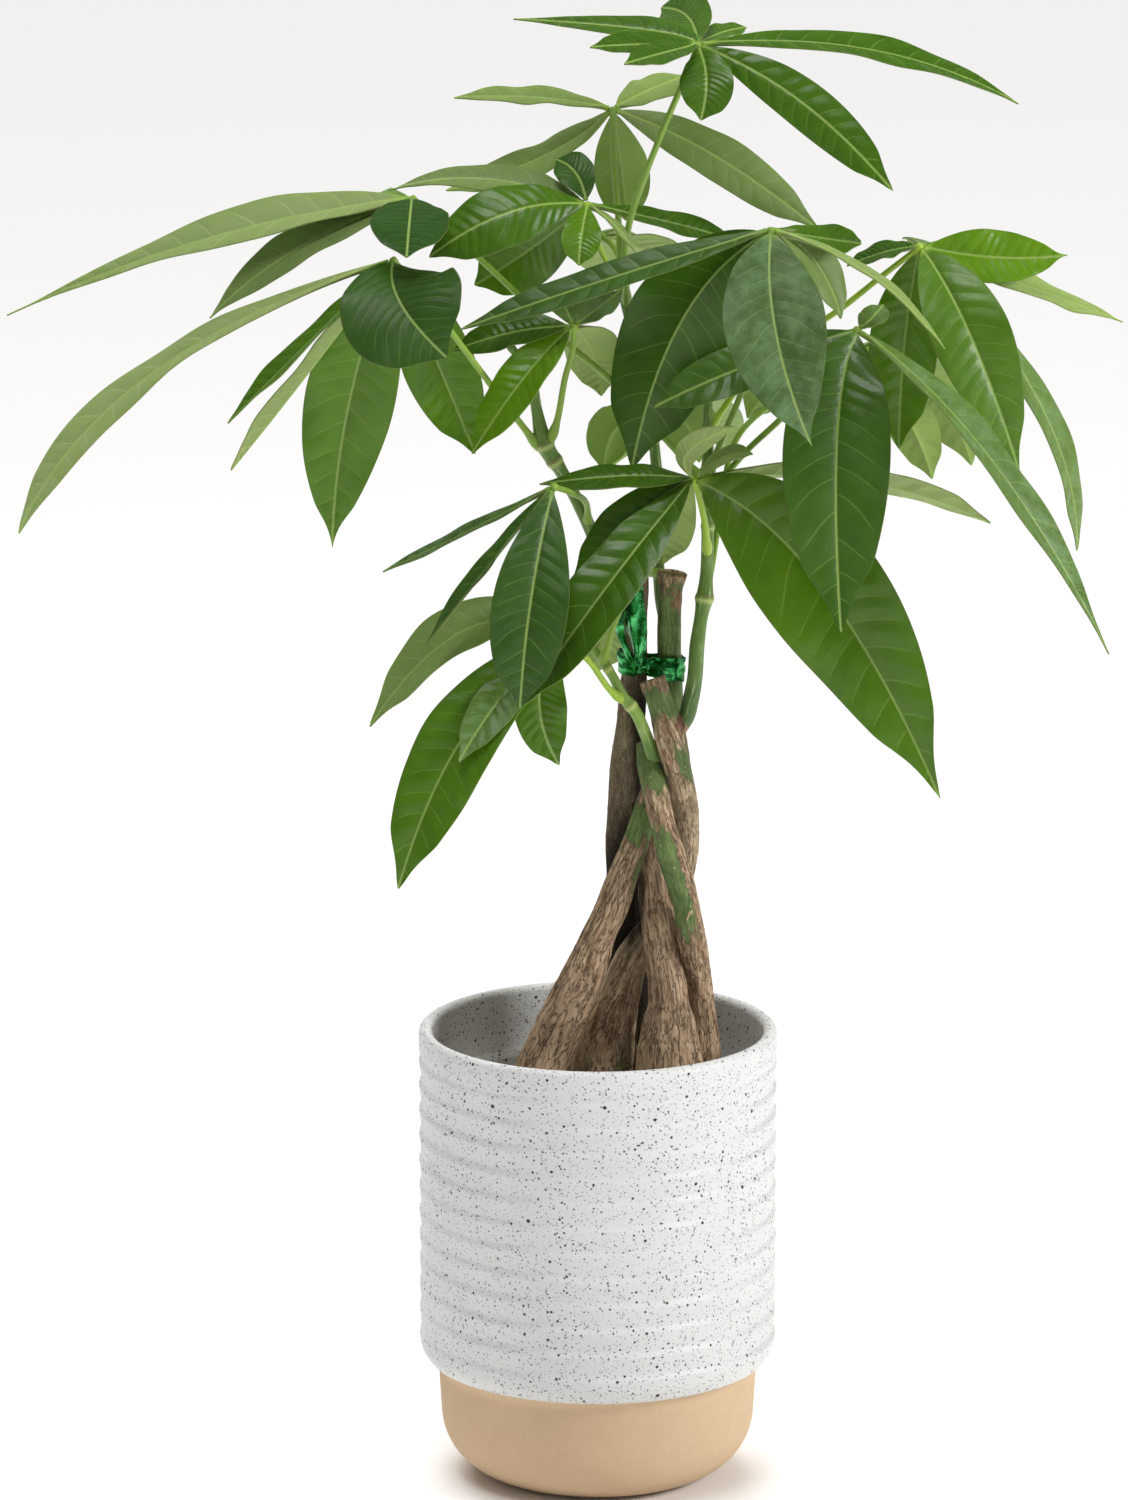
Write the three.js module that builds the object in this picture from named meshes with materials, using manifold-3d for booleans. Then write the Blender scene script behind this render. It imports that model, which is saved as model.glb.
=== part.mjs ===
// A potted money tree: five braided stems in a nursery pot of soil, standing inside a glazed
// ceramic planter, with four green shoots and seventeen palmate leaves.
// Millimetres, +Z up, the origin at the middle of the planter's flat foot. The front of the plant faces -Y.
import * as THREE from "three";
import { mergeVertices } from "three/addons/utils/BufferGeometryUtils.js";
import Module from "manifold-3d";

const wasm = await Module();
wasm.setup();

// --- Driving dimensions ------------------------------------------------------------------------

const POT_RADIUS = 65; // outside, on the ridges
const POT_HEIGHT = 167;
const POT_SIDES = 32;
const FOOT_RADIUS = 33.5; // the flat that the planter stands on
const FOOT_FILLET = 23.5; // big rounding between the flat and the tan wall
const BASE_TOP_RADIUS = 58.2; // tan wall just under the white one
const BASE_HEIGHT = 42.5; // where the white glaze starts
const SKIRT_FILLET = 6.5; // lower corner of the white wall
const RIDGE_COUNT = 12;
const RIDGE_TOP = 154.5; // crest of the highest ridge
const RIDGE_PITCH = 9.35;
const RIDGE_DEPTH = 0.9;
const RIM_RADIUS = 2.5; // rounding of the rim
const WALL_INNER_RADIUS = 60; // inside the upper wall
const LEDGE_HEIGHT = 144; // small step inside
const LEDGE_SLOPE = 2;
const LOWER_INNER_RADIUS = 57;
const CAVITY_FLOOR = 6;
const CAVITY_FLOOR_RADIUS = 40;
const CAVITY_FILLET = 12;

const CLEARANCE = 0.3; // between pieces that touch
const GROWER_TOP = 136;
const GROWER_RADIUS_TOP = 51;
const GROWER_RADIUS_FOOT = 38;
const GROWER_WALL = 1.2;
const GROWER_LIP = 2; // how far the rolled lip stands out
const GROWER_LIP_HEIGHT = 6;
const GROWER_SIDES = 28;

const SOIL_TOP = 130;
const SOIL_CROWN = 2.5; // the surface is that much higher in the middle
const ROOT_DEPTH = 24; // how far the stems go into the soil

const BLADE_THICKNESS = 0.7;
const BLADE_LEAST_HALF_WIDTH = 0.8;
const LONG_BLADE_STATIONS = [0, 0.17, 0.36, 0.56, 0.77, 0.91, 1];
const SHORT_BLADE_STATIONS = [0, 0.25, 0.55, 0.82, 1];
const LONG_BLADE = 48; // a blade with its tip further off than this has the finer stations
const BASE_SHAPE = 0.95; // power by which a leaflet widens from its base
const STALK_RADIUS = 1;
const HUB_RADIUS = 2.8;
const LEAFLET_START = 1.6; // how far from the middle of the hub a leaflet starts, inside the hub
const STALK_SIDES = 5;
const SHOOT_SIDES = 6;
const STEM_SIDES = 9;

const COLOURS = {
  glaze: 0xe6e4e0,
  plastic: 0x23382c,
  soil: 0x3b2c20,
  bark: 0x86705a,
  greenBark: 0x5d7446,
  ribbon: 0x0a8a3a,
  shoot: 0x6c9a4a,
  leaf: 0x3f7a2c,
  youngLeaf: 0x5a9a1c,
};

// --- Places, as the front view shows them ------------------------------------------------------
//
// Every point below is [x, z, y]: where the point shows against the upright plane through the pot's axis, and
// how far it lies behind that plane (negative: in front of it). The plant is looked at slightly from above.

const EYE = new THREE.Vector3(0, -2894, 959);

function seen([x, z, y]) {
  const onPlane = new THREE.Vector3(x, 0, z);
  return onPlane.sub(EYE).multiplyScalar(1 - y / EYE.y).add(EYE);
}

// The stems from the soil up. The fourth number is the radius.
const STEMS = {
  stem_left_front: [
    [-25, 139, -14, 8.8],
    [-19, 155, -12, 8.6],
    [-15.5, 163, -11, 8.6],
    [-11.5, 172, -10, 8.6],
    [-7, 182, -8, 7.8],
    [-3, 191.5, -6, 6.9],
    [0, 199.5, -5, 6.1],
    [4, 208.5, -5, 5.8],
    [8, 219.5, -4, 5.5],
    [13.5, 235.5, -2, 4.8],
    [18, 249, 0, 4.5],
    [23.5, 266.5, 8, 4.3],
    [26.5, 282.5, 8, 4],
    [26, 296, 7, 4.1],
    [25.5, 310, 6, 4.2],
    [25.5, 323, 6, 4.3],
    [26, 330, 6, 4.6],
    [26.5, 334.5, 6, 5.4],
  ],
  stem_middle_front: [
    [26, 139, -16, 13],
    [25.5, 154, -15, 12.2],
    [25.5, 161, -13, 11],
    [25.5, 168.5, -11, 9.4],
    [25.5, 175.5, -9, 7.2],
    [25, 182, -8, 6.9],
    [23.5, 191.5, -5, 6.2],
    [22.5, 199, -3, 6.1],
    [21.5, 206.5, -1, 6],
    [20, 214, 2, 5.4],
    [19.5, 221.5, 3, 5.1],
    [19, 228, 5, 5.1],
    [19, 243, 10, 4.4],
    [19, 251, 11, 4],
  ],
  stem_crossing: [
    [39.5, 139, 4, 6.4],
    [39, 155, 2, 6],
    [38, 169, 3, 5],
    [36, 185, 3, 5.1],
    [33.5, 201, -8, 5],
    [31.5, 214, -11, 4.6],
    [29.5, 221.5, -12, 5],
    [27, 229.5, -13, 5.2],
    [23.5, 241, -12, 4.4],
    [20.5, 255, -9, 4.3],
    [18.5, 266, -3, 3.9],
    [17, 272.5, -1, 3.5],
  ],
  stem_back_to_right: [
    [1.5, 139, 8, 12.5],
    [1, 155, 7, 12],
    [6.5, 174.5, 8, 8.4],
    [12.5, 192.5, 9, 6.2],
    [20.5, 204.5, 11, 5.2],
    [28, 217.5, 10, 4.8],
    [31.5, 232.5, 5, 4.7],
    [31.5, 245.5, 2, 4.8],
    [29, 260, -5, 5],
    [26, 274, -9, 5.6],
    [23.5, 283.5, -8, 5],
    [21, 291, -8, 4.6],
    [19.5, 295.5, -7, 4.5],
  ],
  stem_left_back: [
    [19.5, 139, 28, 8.5],
    [17, 155, 28, 8.5],
    [14, 176.5, 28, 8.2],
    [11, 195.5, 27, 7.9],
    [10, 208.5, 22, 7],
    [9.5, 221.5, 16, 6.1],
    [8.5, 235.5, 11, 5.5],
    [9.5, 251, 10, 5.5],
    [10.5, 266, 8, 5.4],
    [12, 284.5, 6, 4.9],
    [13, 299, 5, 4.5],
    [13, 321, 5, 4.5],
    [14, 328.5, 5, 4],
    [15.5, 335.5, 5, 2.4],
  ],
};

// The shoots, from inside the stem that each one grows on. The fourth number is the radius.
const SHOOTS = {
  shoot_right: {
    on: "stem_back_to_right",
    line: [
      [29, 278, -5, 3.2],
      [31.5, 282, -4, 3.1],
      [33, 287.5, -4, 3],
      [34.5, 295.5, -3, 2.8],
      [35.5, 308.5, -2, 2.7],
      [37, 319.5, -1, 2.5],
      [38, 325.5, 0, 3],
      [38.5, 332, 1, 2.4],
      [39, 346.5, 1, 2.2],
      [39, 366, 2, 2.2],
      [39, 383, 3, 2],
      [39, 397.5, 4, 1.6],
    ],
  },
  shoot_middle: {
    on: "stem_left_front",
    line: [
      [25.5, 308, 6, 2.6],
      [24.5, 314.5, 13, 2.4],
      [22.5, 324.5, 15, 2.2],
      [21.5, 346.5, 16, 2],
      [21, 368.5, 16, 2],
      [17.5, 397.5, 16, 1.8],
      [12, 423, 15, 1.8],
      [9, 435, 15, 1.8],
      [8, 445, 15, 1.7],
    ],
  },
  shoot_left: {
    on: "stem_left_back",
    line: [
      [13, 310, 5, 2.6],
      [8.5, 320.5, 1, 2.4],
      [1.5, 339.5, -1, 2.4],
      [-5, 355.5, -3, 2.4],
      [-13.5, 372, -4, 2.5],
      [-19, 381, -5, 3.1],
      [-22, 394, -5, 2],
      [-24, 405, -6, 1.8],
      [-28, 412.5, -7, 1.3],
      [-31, 416.5, -8, 1.6],
    ],
  },
  shoot_low: {
    on: "stem_crossing",
    line: [
      [20.5, 264.5, -4, 2.6],
      [17, 275.5, -10, 2.2],
      [12.5, 285, -13.5, 2.1],
      [9.5, 288.5, -14, 2],
      [5, 297, -13.5, 1.7],
      [1.5, 302.5, -13, 1.6],
      [-3, 309, -13, 1.4],
      [-5.5, 316.5, -14, 1.1],
    ],
  },
};

// The leaves. stalk runs from inside the shoot to the hub, where the leaflets meet. A leaflet is [a point
// half way along its midrib, its tip, its half width, the way its upper face looks as x, y, z, the rise of
// its edges over the midrib as a share of the half width, and how far along it is widest].
const LEAVES = {
  leaf_top_right: {
    on: "shoot_middle",
    stalk: [
      [10, 432, 15],
      [10, 457, -4],
      [22, 493, -10],
      [32, 517, -9],
      [35, 525, -8],
    ],
    leaflets: [
      [[18, 530, -2], [-30, 534, 12], 6.5, [0, -0.5, 1], 0.1, 0.5],
      [[17, 525, -18], [-3, 524, -30], 6, [0, -0.6, 0.8], 0.16, 0.56],
      [[23, 522, -26], [9, 518, -38], 6, [0, -0.6, 0.8], 0.16, 0.56],
      [[31, 535, 14], [22, 538, 34], 9, [0, -1, 0.5], 0.16, 0.56],
      [[43, 529, 12], [52, 531, 22], 5, [0, -0.5, 0.9], 0.16, 0.56],
      [[96, 523, 0], [148, 504, 8], 8.5, [0, -0.4, 1], 0.15, 0.5],
      [[71, 505, -20], [104, 473, -32], 8.5, [-0.3, -1, 0.5], -0.1, 0.56],
      [[38, 512, -20], [36, 498, -24], 9.5, [0, -1, 0.3], 0.16, 0.56],
    ],
  },
  leaf_top_left: {
    on: "shoot_middle",
    stalk: [
      [8, 440, 15],
      [7, 462, 22],
      [5, 494, 24],
      [5, 502, 24],
    ],
    leaflets: [
      [[-21, 506, 28], [-51, 506, 32], 7, [0, -0.3, 1], 0.16, 0.56],
      [[18, 509, 38], [32, 514, 56], 7.5, [0, -0.5, 0.9], 0, 0.56],
      [[40, 486, 14], [78, 459, 12], 9, [-0.25, -0.7, 0.65], 0, 0.56],
      [[-20, 485, 30], [-54, 473, 34], 10.5, [-0.1, -0.4, 0.9], 0, 0.56],
      [[8, 480, 36], [10, 462, 38], 10, [0, 1, 0.2], 0.16, 0.56],
    ],
  },
  leaf_young: {
    on: "shoot_middle",
    stalk: [
      [8, 437, 15],
      [1, 451, 6],
      [-3, 461, 0],
      [-4, 468, -2],
    ],
    leaflets: [
      [[-32, 465, -14], [-60, 449, -14], 12, [0.2, -0.75, 0.6], -0.2, 0.56],
      [[-6, 457, -16], [-7, 446, -20], 7, [0, -1, 0.2], 0.16, 0.56],
      [[5, 461, -8], [13, 451, -8], 3.5, [0.7, -0.3, 0.6], 0.16, 0.56],
      [[-8, 479, 4], [-15, 484, 12], 7, [0, -0.8, 0.6], 0.16, 0.56],
      [[27, 461, 10], [48, 455, 14], 6, [0.1, -0.5, 0.85], 0.16, 0.56],
      [[-24, 452, 24], [-44, 439, 30], 12.5, [0, -1, 0.15], 0.16, 0.56],
      [[-41, 477, 10], [-74, 473, 12], 8.5, [0, -0.4, 0.9], 0.16, 0.4],
    ],
  },
  leaf_upper_left: {
    on: "shoot_right",
    stalk: [
      [38, 368, 2],
      [27, 380, -4],
      [3, 406, -3],
      [-10, 417, -2],
      [-28, 435, 6],
      [-48, 454, 6],
      [-61, 466, 4],
      [-66, 470, 4],
    ],
    leaflets: [
      [[-137, 456, 0], [-210, 428, 2], 11, [-0.1, -0.4, 0.9], 0.22, 0.36],
      [[-108, 451, -6], [-138, 427, -8], 9.5, [-0.2, -0.5, 0.85], 0.15, 0.48],
      [[-67, 461, -22], [-68, 449, -44], 14, [0, -1, 0.7], 0.16, 0.56],
      [[-87, 468, 26], [-106, 464, 54], 12, [0, -0.2, 1], 0.16, 0.56],
    ],
  },
  leaf_left: {
    on: "shoot_left",
    stalk: [
      [-21, 380, -5],
      [-30, 392, -10],
      [-39, 404, -16],
      [-50, 419, -22],
      [-64, 438, -26],
      [-73, 448, -25],
    ],
    leaflets: [
      [[-159, 407, -30], [-207, 349, -60], 9.5, [0, -0.2, 1], 0.1, 0.56],
      [[-104, 417, -40], [-132, 389, -48], 7.5, [-0.5, -0.2, 0.85], 0.25, 0.56],
      [[-106, 404, -22], [-131, 372, -18], 8.5, [-0.6, 0.3, 0.7], 0.3, 0.56],
      [[-89, 395, -12], [-95, 344, -6], 16, [0, -1, 0.1], 0.1, 0.46],
      [[-59, 415, 2], [-44, 378, 6], 13, [0.2, -1, 0.1], 0.16, 0.56],
      [[-70, 432, -44], [-54, 413, -52], 22.5, [0, -1, 0.3], 0.1, 0.56],
    ],
  },
  leaf_middle: {
    on: "shoot_left",
    stalk: [
      [-17, 383, -6],
      [-15, 389, -8],
      [-12, 405, -11],
      [-9, 418, -14],
      [-9, 424, -14],
    ],
    leaflets: [
      [[-30, 422, -14], [-52, 415, -10], 8, [0, -0.6, 0.8], 0.16, 0.56],
      [[-26, 406, -26], [-45, 378, -32], 9.5, [-0.6, -0.8, 0.3], 0.16, 0.56],
      [[-2, 415, 10], [1, 399, 14], 10, [0, 1, 0.2], 0.16, 0.56],
      [[-1, 430, -6], [8, 437, 2], 6, [0, -0.5, 1], 0.16, 0.56],
      [[-14, 434, 4], [-21, 439, 18], 9, [0, -0.3, 1], 0.16, 0.56],
    ],
  },
  leaf_centre: {
    on: "shoot_right",
    stalk: [
      [39, 369, 3],
      [42, 378, 0],
      [52, 404, -8],
      [58, 434, -14],
      [61, 455, -18],
      [61, 459, -18],
    ],
    leaflets: [
      [[6, 442, -24], [-49, 423, -20], 7, [0.1, -0.6, 0.8], 0.16, 0.56],
      [[30, 427, -16], [12, 373, -12], 20, [0.3, 1, -0.1], 0.16, 0.56],
      [[63, 422, -44], [76, 381, -52], 18, [0, -1, 0.25], 0.16, 0.46],
      [[78, 456, -6], [93, 454, -6], 7, [0, -0.5, 0.8], 0.1, 0.66],
      [[96, 443, -26], [123, 416, -30], 4.5, [0.6, -0.2, 0.8], 0.16, 0.56],
      [[77, 447, -6], [86, 427, -6], 8, [0.5, -0.7, 0.5], 0.16, 0.56],
    ],
  },
  leaf_right: {
    on: "shoot_right",
    stalk: [
      [39, 387, 3],
      [42, 391, 5],
      [52, 405, 7],
      [89, 433, 10],
      [100, 442, 10],
      [114, 453, 8],
    ],
    leaflets: [
      [[142, 449, 12], [166, 450, 16], 10, [0, -1, 0.5], 0.16, 0.45],
      [[157, 437, 22], [186, 426, 28], 10, [0, -0.3, 1], 0.05, 0.4],
      [[132, 421, -16], [150, 372, -20], 14, [0.1, -1, 0.3], 0.16, 0.5],
      [[157, 396, -4], [171, 343, -6], 9.5, [0.85, -0.4, 0.3], 0.1, 0.6],
      [[109, 421, 16], [107, 380, 20], 12.5, [-0.2, -1, 0.1], 0.16, 0.56],
      [[102, 451, 8], [88, 446, 8], 6.5, [0, -0.3, 1], 0.16, 0.56],
      [[120, 453, 38], [125, 444, 68], 13, [0, -0.1, 1], 0.16, 0.56],
    ],
  },
  leaf_front_right: {
    on: "shoot_right",
    stalk: [
      [38, 358, 0],
      [41, 364, 0],
      [50, 376, -2],
      [67, 393, -10],
      [84, 414, -18],
      [92, 423, -22],
    ],
    leaflets: [
      [[85, 384, -40], [87, 313, -60], 19, [0, -1, 0.15], 0.16, 0.56],
      [[139, 377, -54], [183, 305, -62], 10.5, [0.6, -0.35, 0.7], 0.2, 0.5],
      [[53, 410, -26], [20, 395, -24], 9, [0, -0.8, 0.5], 0.16, 0.56],
      [[97, 427, -14], [101, 432, -6], 5, [0, -0.5, 0.9], 0.16, 0.56],
    ],
  },
  leaf_front: {
    on: "shoot_right",
    stalk: [
      [39, 342, 0],
      [38, 353, -8],
      [36, 362, -13],
      [34, 369, -16],
    ],
    leaflets: [
      [[80, 330, -34], [123, 252, -46], 22, [-0.35, -1, 0.4], 0.16, 0.5],
      [[5, 332, -44], [-27, 286, -53], 12, [-0.3, -0.8, 0.5], 0.2, 0.56],
      [[11, 370, -24], [-21, 367, -20], 7, [0, -0.45, 0.9], 0, 0.56],
      [[90, 369, -6], [140, 353, 6], 8.5, [0, 0.6, 0.8], 0.16, 0.56],
      [[32, 379, -27], [49, 388, -34], 4.5, [0.4, 0.8, 0.4], 0.16, 0.56],
      [[45, 377, -20], [55, 378, -22], 4, [0, -0.6, 0.8], 0.16, 0.56],
      [[13, 355, -22], [-9, 332, -24], 8.5, [-0.4, -0.8, 0.5], 0.3, 0.56],
      [[25, 354, 3], [23, 338, 11], 10.5, [0, 1, 0.2], 0.1, 0.62],
    ],
  },
  leaf_low_middle: {
    on: "shoot_left",
    stalk: [
      [-4, 352, -2],
      [-4, 359, -10],
      [-10, 364, -28],
      [-16, 366, -38],
    ],
    leaflets: [
      [[-24, 325, -58], [-28, 285, -62], 13.5, [0, -1, 0.15], 0.16, 0.56],
      [[-37, 340, -46], [-63, 306, -50], 6.5, [-0.7, -0.2, 0.7], 0.3, 0.56],
      [[-46, 350, -32], [-77, 335, -28], 5, [-0.3, -0.2, 1], 0.16, 0.56],
    ],
  },
  leaf_low_left: {
    on: "shoot_low",
    stalk: [
      [9, 288, -14],
      [5, 291, -18],
      [-4, 303, -26],
      [-10, 308, -30],
      [-13, 311, -32],
    ],
    leaflets: [
      [[-47, 314, -32], [-82, 278, -28], 11, [-0.3, -0.6, 0.7], 0.25, 0.56],
      [[-48, 275, -48], [-72, 218, -54], 14, [-0.3, -1, 0.3], 0.16, 0.56],
      [[-33, 291, -44], [-50, 265, -57], 8, [-0.2, -0.9, 0.4], 0.16, 0.56],
      [[-21, 288, -36], [-14, 264, -38], 9.5, [0.1, -1, 0.2], 0.16, 0.56],
    ],
  },
  leaf_low_right: {
    on: "shoot_low",
    stalk: [
      [1, 302, -13],
      [3, 306, -16],
      [5, 314, -17],
      [9, 324, -16],
      [13, 336, -12],
    ],
    leaflets: [
      [[5, 341, -8], [-3, 336, -4], 8, [0, 1, 0.2], 0.16, 0.56],
      [[13, 344, -9], [11, 353, -6], 6, [0, 1, 0.2], 0.16, 0.56],
    ],
  },
  leaf_back_right: {
    on: "shoot_right",
    stalk: [
      [38, 325, 0],
      [40, 334, 5],
      [42, 347, 8],
      [44, 361, 11],
      [49, 383, 18],
      [72, 403, 34],
      [92, 416, 44],
    ],
    leaflets: [
      [[109, 393, 48], [119, 369, 48], 9, [0, 1, 0.3], 0.16, 0.56],
      [[118, 403, 60], [133, 374, 64], 13, [0.2, 1, 0.3], 0.16, 0.56],
      [[96, 415, 78], [102, 397, 108], 14, [0, 0.6, 1], 0.16, 0.56],
      [[76, 416, 74], [61, 402, 98], 14, [0, 0.6, 1], 0.16, 0.56],
      [[66, 405, 32], [53, 391, 28], 8, [0, 1, 0.3], 0.16, 0.56],
    ],
  },
  leaf_back_middle: {
    on: "shoot_middle",
    stalk: [
      [21, 367, 16],
      [21, 377, 28],
      [18, 387, 36],
    ],
    leaflets: [
      [[6, 387, 38], [2, 371, 38], 9, [0, 1, 0.2], 0.16, 0.56],
      [[30, 390, 42], [36, 375, 46], 11, [0, 1, 0.2], 0.16, 0.56],
      [[13, 390, 70], [3, 372, 98], 15, [0, 0.5, 1], 0.16, 0.56],
      [[33, 393, 66], [46, 379, 96], 15, [0, 0.5, 1], 0.16, 0.56],
    ],
  },
  leaf_back_low: {
    on: "shoot_middle",
    stalk: [
      [22, 335, 13],
      [15, 334, 22],
      [3, 329, 28],
      [-2, 325, 30],
    ],
    leaflets: [
      [[1, 313, 26], [-1, 298, 26], 10.5, [0, 1, 0.2], 0.16, 0.56],
      [[-14, 325, 52], [-25, 307, 72], 14, [-0.2, 0.6, 1], 0.16, 0.56],
      [[3, 323, 62], [1, 301, 92], 15, [0, 0.6, 1], 0.16, 0.56],
    ],
  },
  leaf_back_upper: {
    on: "shoot_middle",
    stalk: [
      [9, 435, 15],
      [8, 447, 34],
      [3, 455, 44],
      [0, 457, 46],
    ],
    leaflets: [
      [[-17, 457, 64], [-33, 446, 84], 13, [0, 0.3, 1], 0.16, 0.56],
      [[0, 455, 74], [3, 439, 100], 14, [0, 0.5, 1], 0.16, 0.56],
      [[18, 451, 62], [34, 437, 84], 13, [0, 0.3, 1], 0.16, 0.56],
    ],
  },
};

// --- Shapes ------------------------------------------------------------------------------------

// A closed solid from rings of points, each ring with as many points as the next, and both ends capped.
// splits(i) says which of a ring's four-sided faces are cut along the other diagonal.
function solidFromRings(rings, splits = () => false) {
  const count = rings[0].length;
  const points = rings.flat();
  const triangles = [];
  for (let r = 0; r + 1 < rings.length; r++) {
    for (let i = 0; i < count; i++) {
      const a = r * count + i;
      const b = r * count + ((i + 1) % count);
      const c = b + count;
      const d = a + count;
      if (splits(i)) triangles.push(a, b, d, b, c, d);
      else triangles.push(a, b, c, a, c, d);
    }
  }
  const last = points.length - count;
  for (let i = 1; i + 1 < count; i++) {
    triangles.push(0, i + 1, i);
    triangles.push(last, last + i, last + i + 1);
  }
  return manifold(points.flatMap((p) => p.toArray()), triangles);
}

function manifold(numbers, triangles) {
  const mesh = new wasm.Mesh({
    numProp: 3,
    vertProperties: new Float32Array(numbers),
    triVerts: new Uint32Array(triangles),
  });
  return new wasm.Manifold(mesh);
}

function solidFromGeometry(geometry) {
  const bare = geometry.clone();
  bare.deleteAttribute("normal");
  bare.deleteAttribute("uv");
  const merged = mergeVertices(bare);
  return manifold(merged.attributes.position.array, merged.index.array);
}

function geometryOf(solid) {
  const mesh = solid.getMesh();
  const geometry = new THREE.BufferGeometry();
  geometry.setAttribute("position", new THREE.BufferAttribute(mesh.vertProperties, 3));
  geometry.setIndex(new THREE.BufferAttribute(mesh.triVerts, 1));
  geometry.computeVertexNormals();
  return geometry;
}

// A round limb through points, its radius going smoothly from each point's own to the next.
function limb(points, radii, sides, grow = 0) {
  const curve = new THREE.CatmullRomCurve3(points, false, "centripetal");
  const steps = points.length - 1;
  const across = new THREE.Vector3(1, 0, 0);
  const rings = [];
  for (let s = 0; s <= steps; s++) {
    const t = s / steps;
    const centre = curve.getPoint(t);
    const along = curve.getTangent(t);
    across.addScaledVector(along, -across.dot(along)).normalize();
    const upwards = new THREE.Vector3().crossVectors(along, across);
    const at = t * (radii.length - 1);
    const from = Math.min(Math.floor(at), radii.length - 2);
    const radius = THREE.MathUtils.lerp(radii[from], radii[from + 1], at - from) + grow;
    const ring = [];
    for (let i = 0; i < sides; i++) {
      const angle = (2 * Math.PI * i) / sides;
      const spoke = across.clone().multiplyScalar(Math.cos(angle));
      spoke.addScaledVector(upwards, Math.sin(angle));
      ring.push(centre.clone().addScaledVector(spoke, radius));
    }
    rings.push(ring);
  }
  return solidFromRings(rings);
}

function stem(line, grow = 0) {
  const points = line.map(seen);
  const root = points[0].clone().setZ(SOIL_TOP - ROOT_DEPTH);
  const radii = line.map((p) => p[3]);
  return limb([root, ...points], [radii[0], ...radii], STEM_SIDES, grow);
}

function shoot(line, grow = 0) {
  return limb(line.map(seen), line.map((p) => p[3]), SHOOT_SIDES, grow);
}

// How wide a leaflet is along its midrib, from 0 at both ends to 1 at the place called widest.
function leafletOutline(t, widest) {
  const tipShape = (BASE_SHAPE * (1 - widest)) / widest;
  const most = widest ** BASE_SHAPE * (1 - widest) ** tipShape;
  return (t ** BASE_SHAPE * (1 - t) ** tipShape) / most;
}

// One leaflet: a thin blade along a bowed midrib, folded along it.
function leaflet(hub, [mid, tip, halfWidth, face, fold, widest]) {
  const end = seen(tip);
  const outwards = seen(mid).sub(hub).normalize();
  const base = hub.clone().addScaledVector(outwards, LEAFLET_START);
  const bow = seen(mid).multiplyScalar(2).addScaledVector(base, -0.5).addScaledVector(end, -0.5);
  const midrib = new THREE.QuadraticBezierCurve3(base, bow, end);
  const long = base.distanceTo(end) > LONG_BLADE;
  const stations = long ? LONG_BLADE_STATIONS : SHORT_BLADE_STATIONS;
  const rings = stations.map((t) => {
    const centre = midrib.getPoint(t);
    const along = midrib.getTangent(t);
    const up = new THREE.Vector3(...face);
    up.addScaledVector(along, -up.dot(along)).normalize();
    const side = new THREE.Vector3().crossVectors(up, along);
    const width = Math.max(halfWidth * leafletOutline(t, widest), BLADE_LEAST_HALF_WIDTH);
    const place = (across, rise) =>
      centre.clone().addScaledVector(side, across).addScaledVector(up, rise);
    const half = BLADE_THICKNESS / 2;
    const lift = width * fold;
    return [
      place(-width, lift + half),
      place(-width, lift - half),
      place(0, -half),
      place(width, lift - half),
      place(width, lift + half),
      place(0, half),
    ];
  });
  // Faces 1 and 2 are the underside and 4 and 5 the upper side; each pair is split alike.
  return solidFromRings(rings, (i) => i === 4 || i === 5);
}

function leaf({ stalk, leaflets, on }) {
  const points = stalk.map(seen);
  const hub = points.at(-1);
  const radii = points.map(() => STALK_RADIUS);
  const knot = new THREE.OctahedronGeometry(HUB_RADIUS);
  knot.translate(hub.x, hub.y, hub.z);
  let solid = limb(points, radii, STALK_SIDES).add(solidFromGeometry(knot));
  for (const row of leaflets) solid = solid.add(leaflet(hub, row));
  return solid.subtract(shoot(SHOOTS[on].line, CLEARANCE));
}

// --- Pieces ------------------------------------------------------------------------------------

// Points of an arc in the plane of a turned profile: centre, radius, and the start and end angle in degrees.
function arc(x, y, radius, from, to, steps) {
  const points = [];
  for (let s = 0; s <= steps; s++) {
    const angle = THREE.MathUtils.degToRad(from + ((to - from) * s) / steps);
    points.push(new THREE.Vector2(x + radius * Math.cos(angle), y + radius * Math.sin(angle)));
  }
  return points;
}

// A profile turned round the z axis.
function turned(profile, sides) {
  return new THREE.LatheGeometry(profile, sides).rotateX(Math.PI / 2);
}

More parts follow.
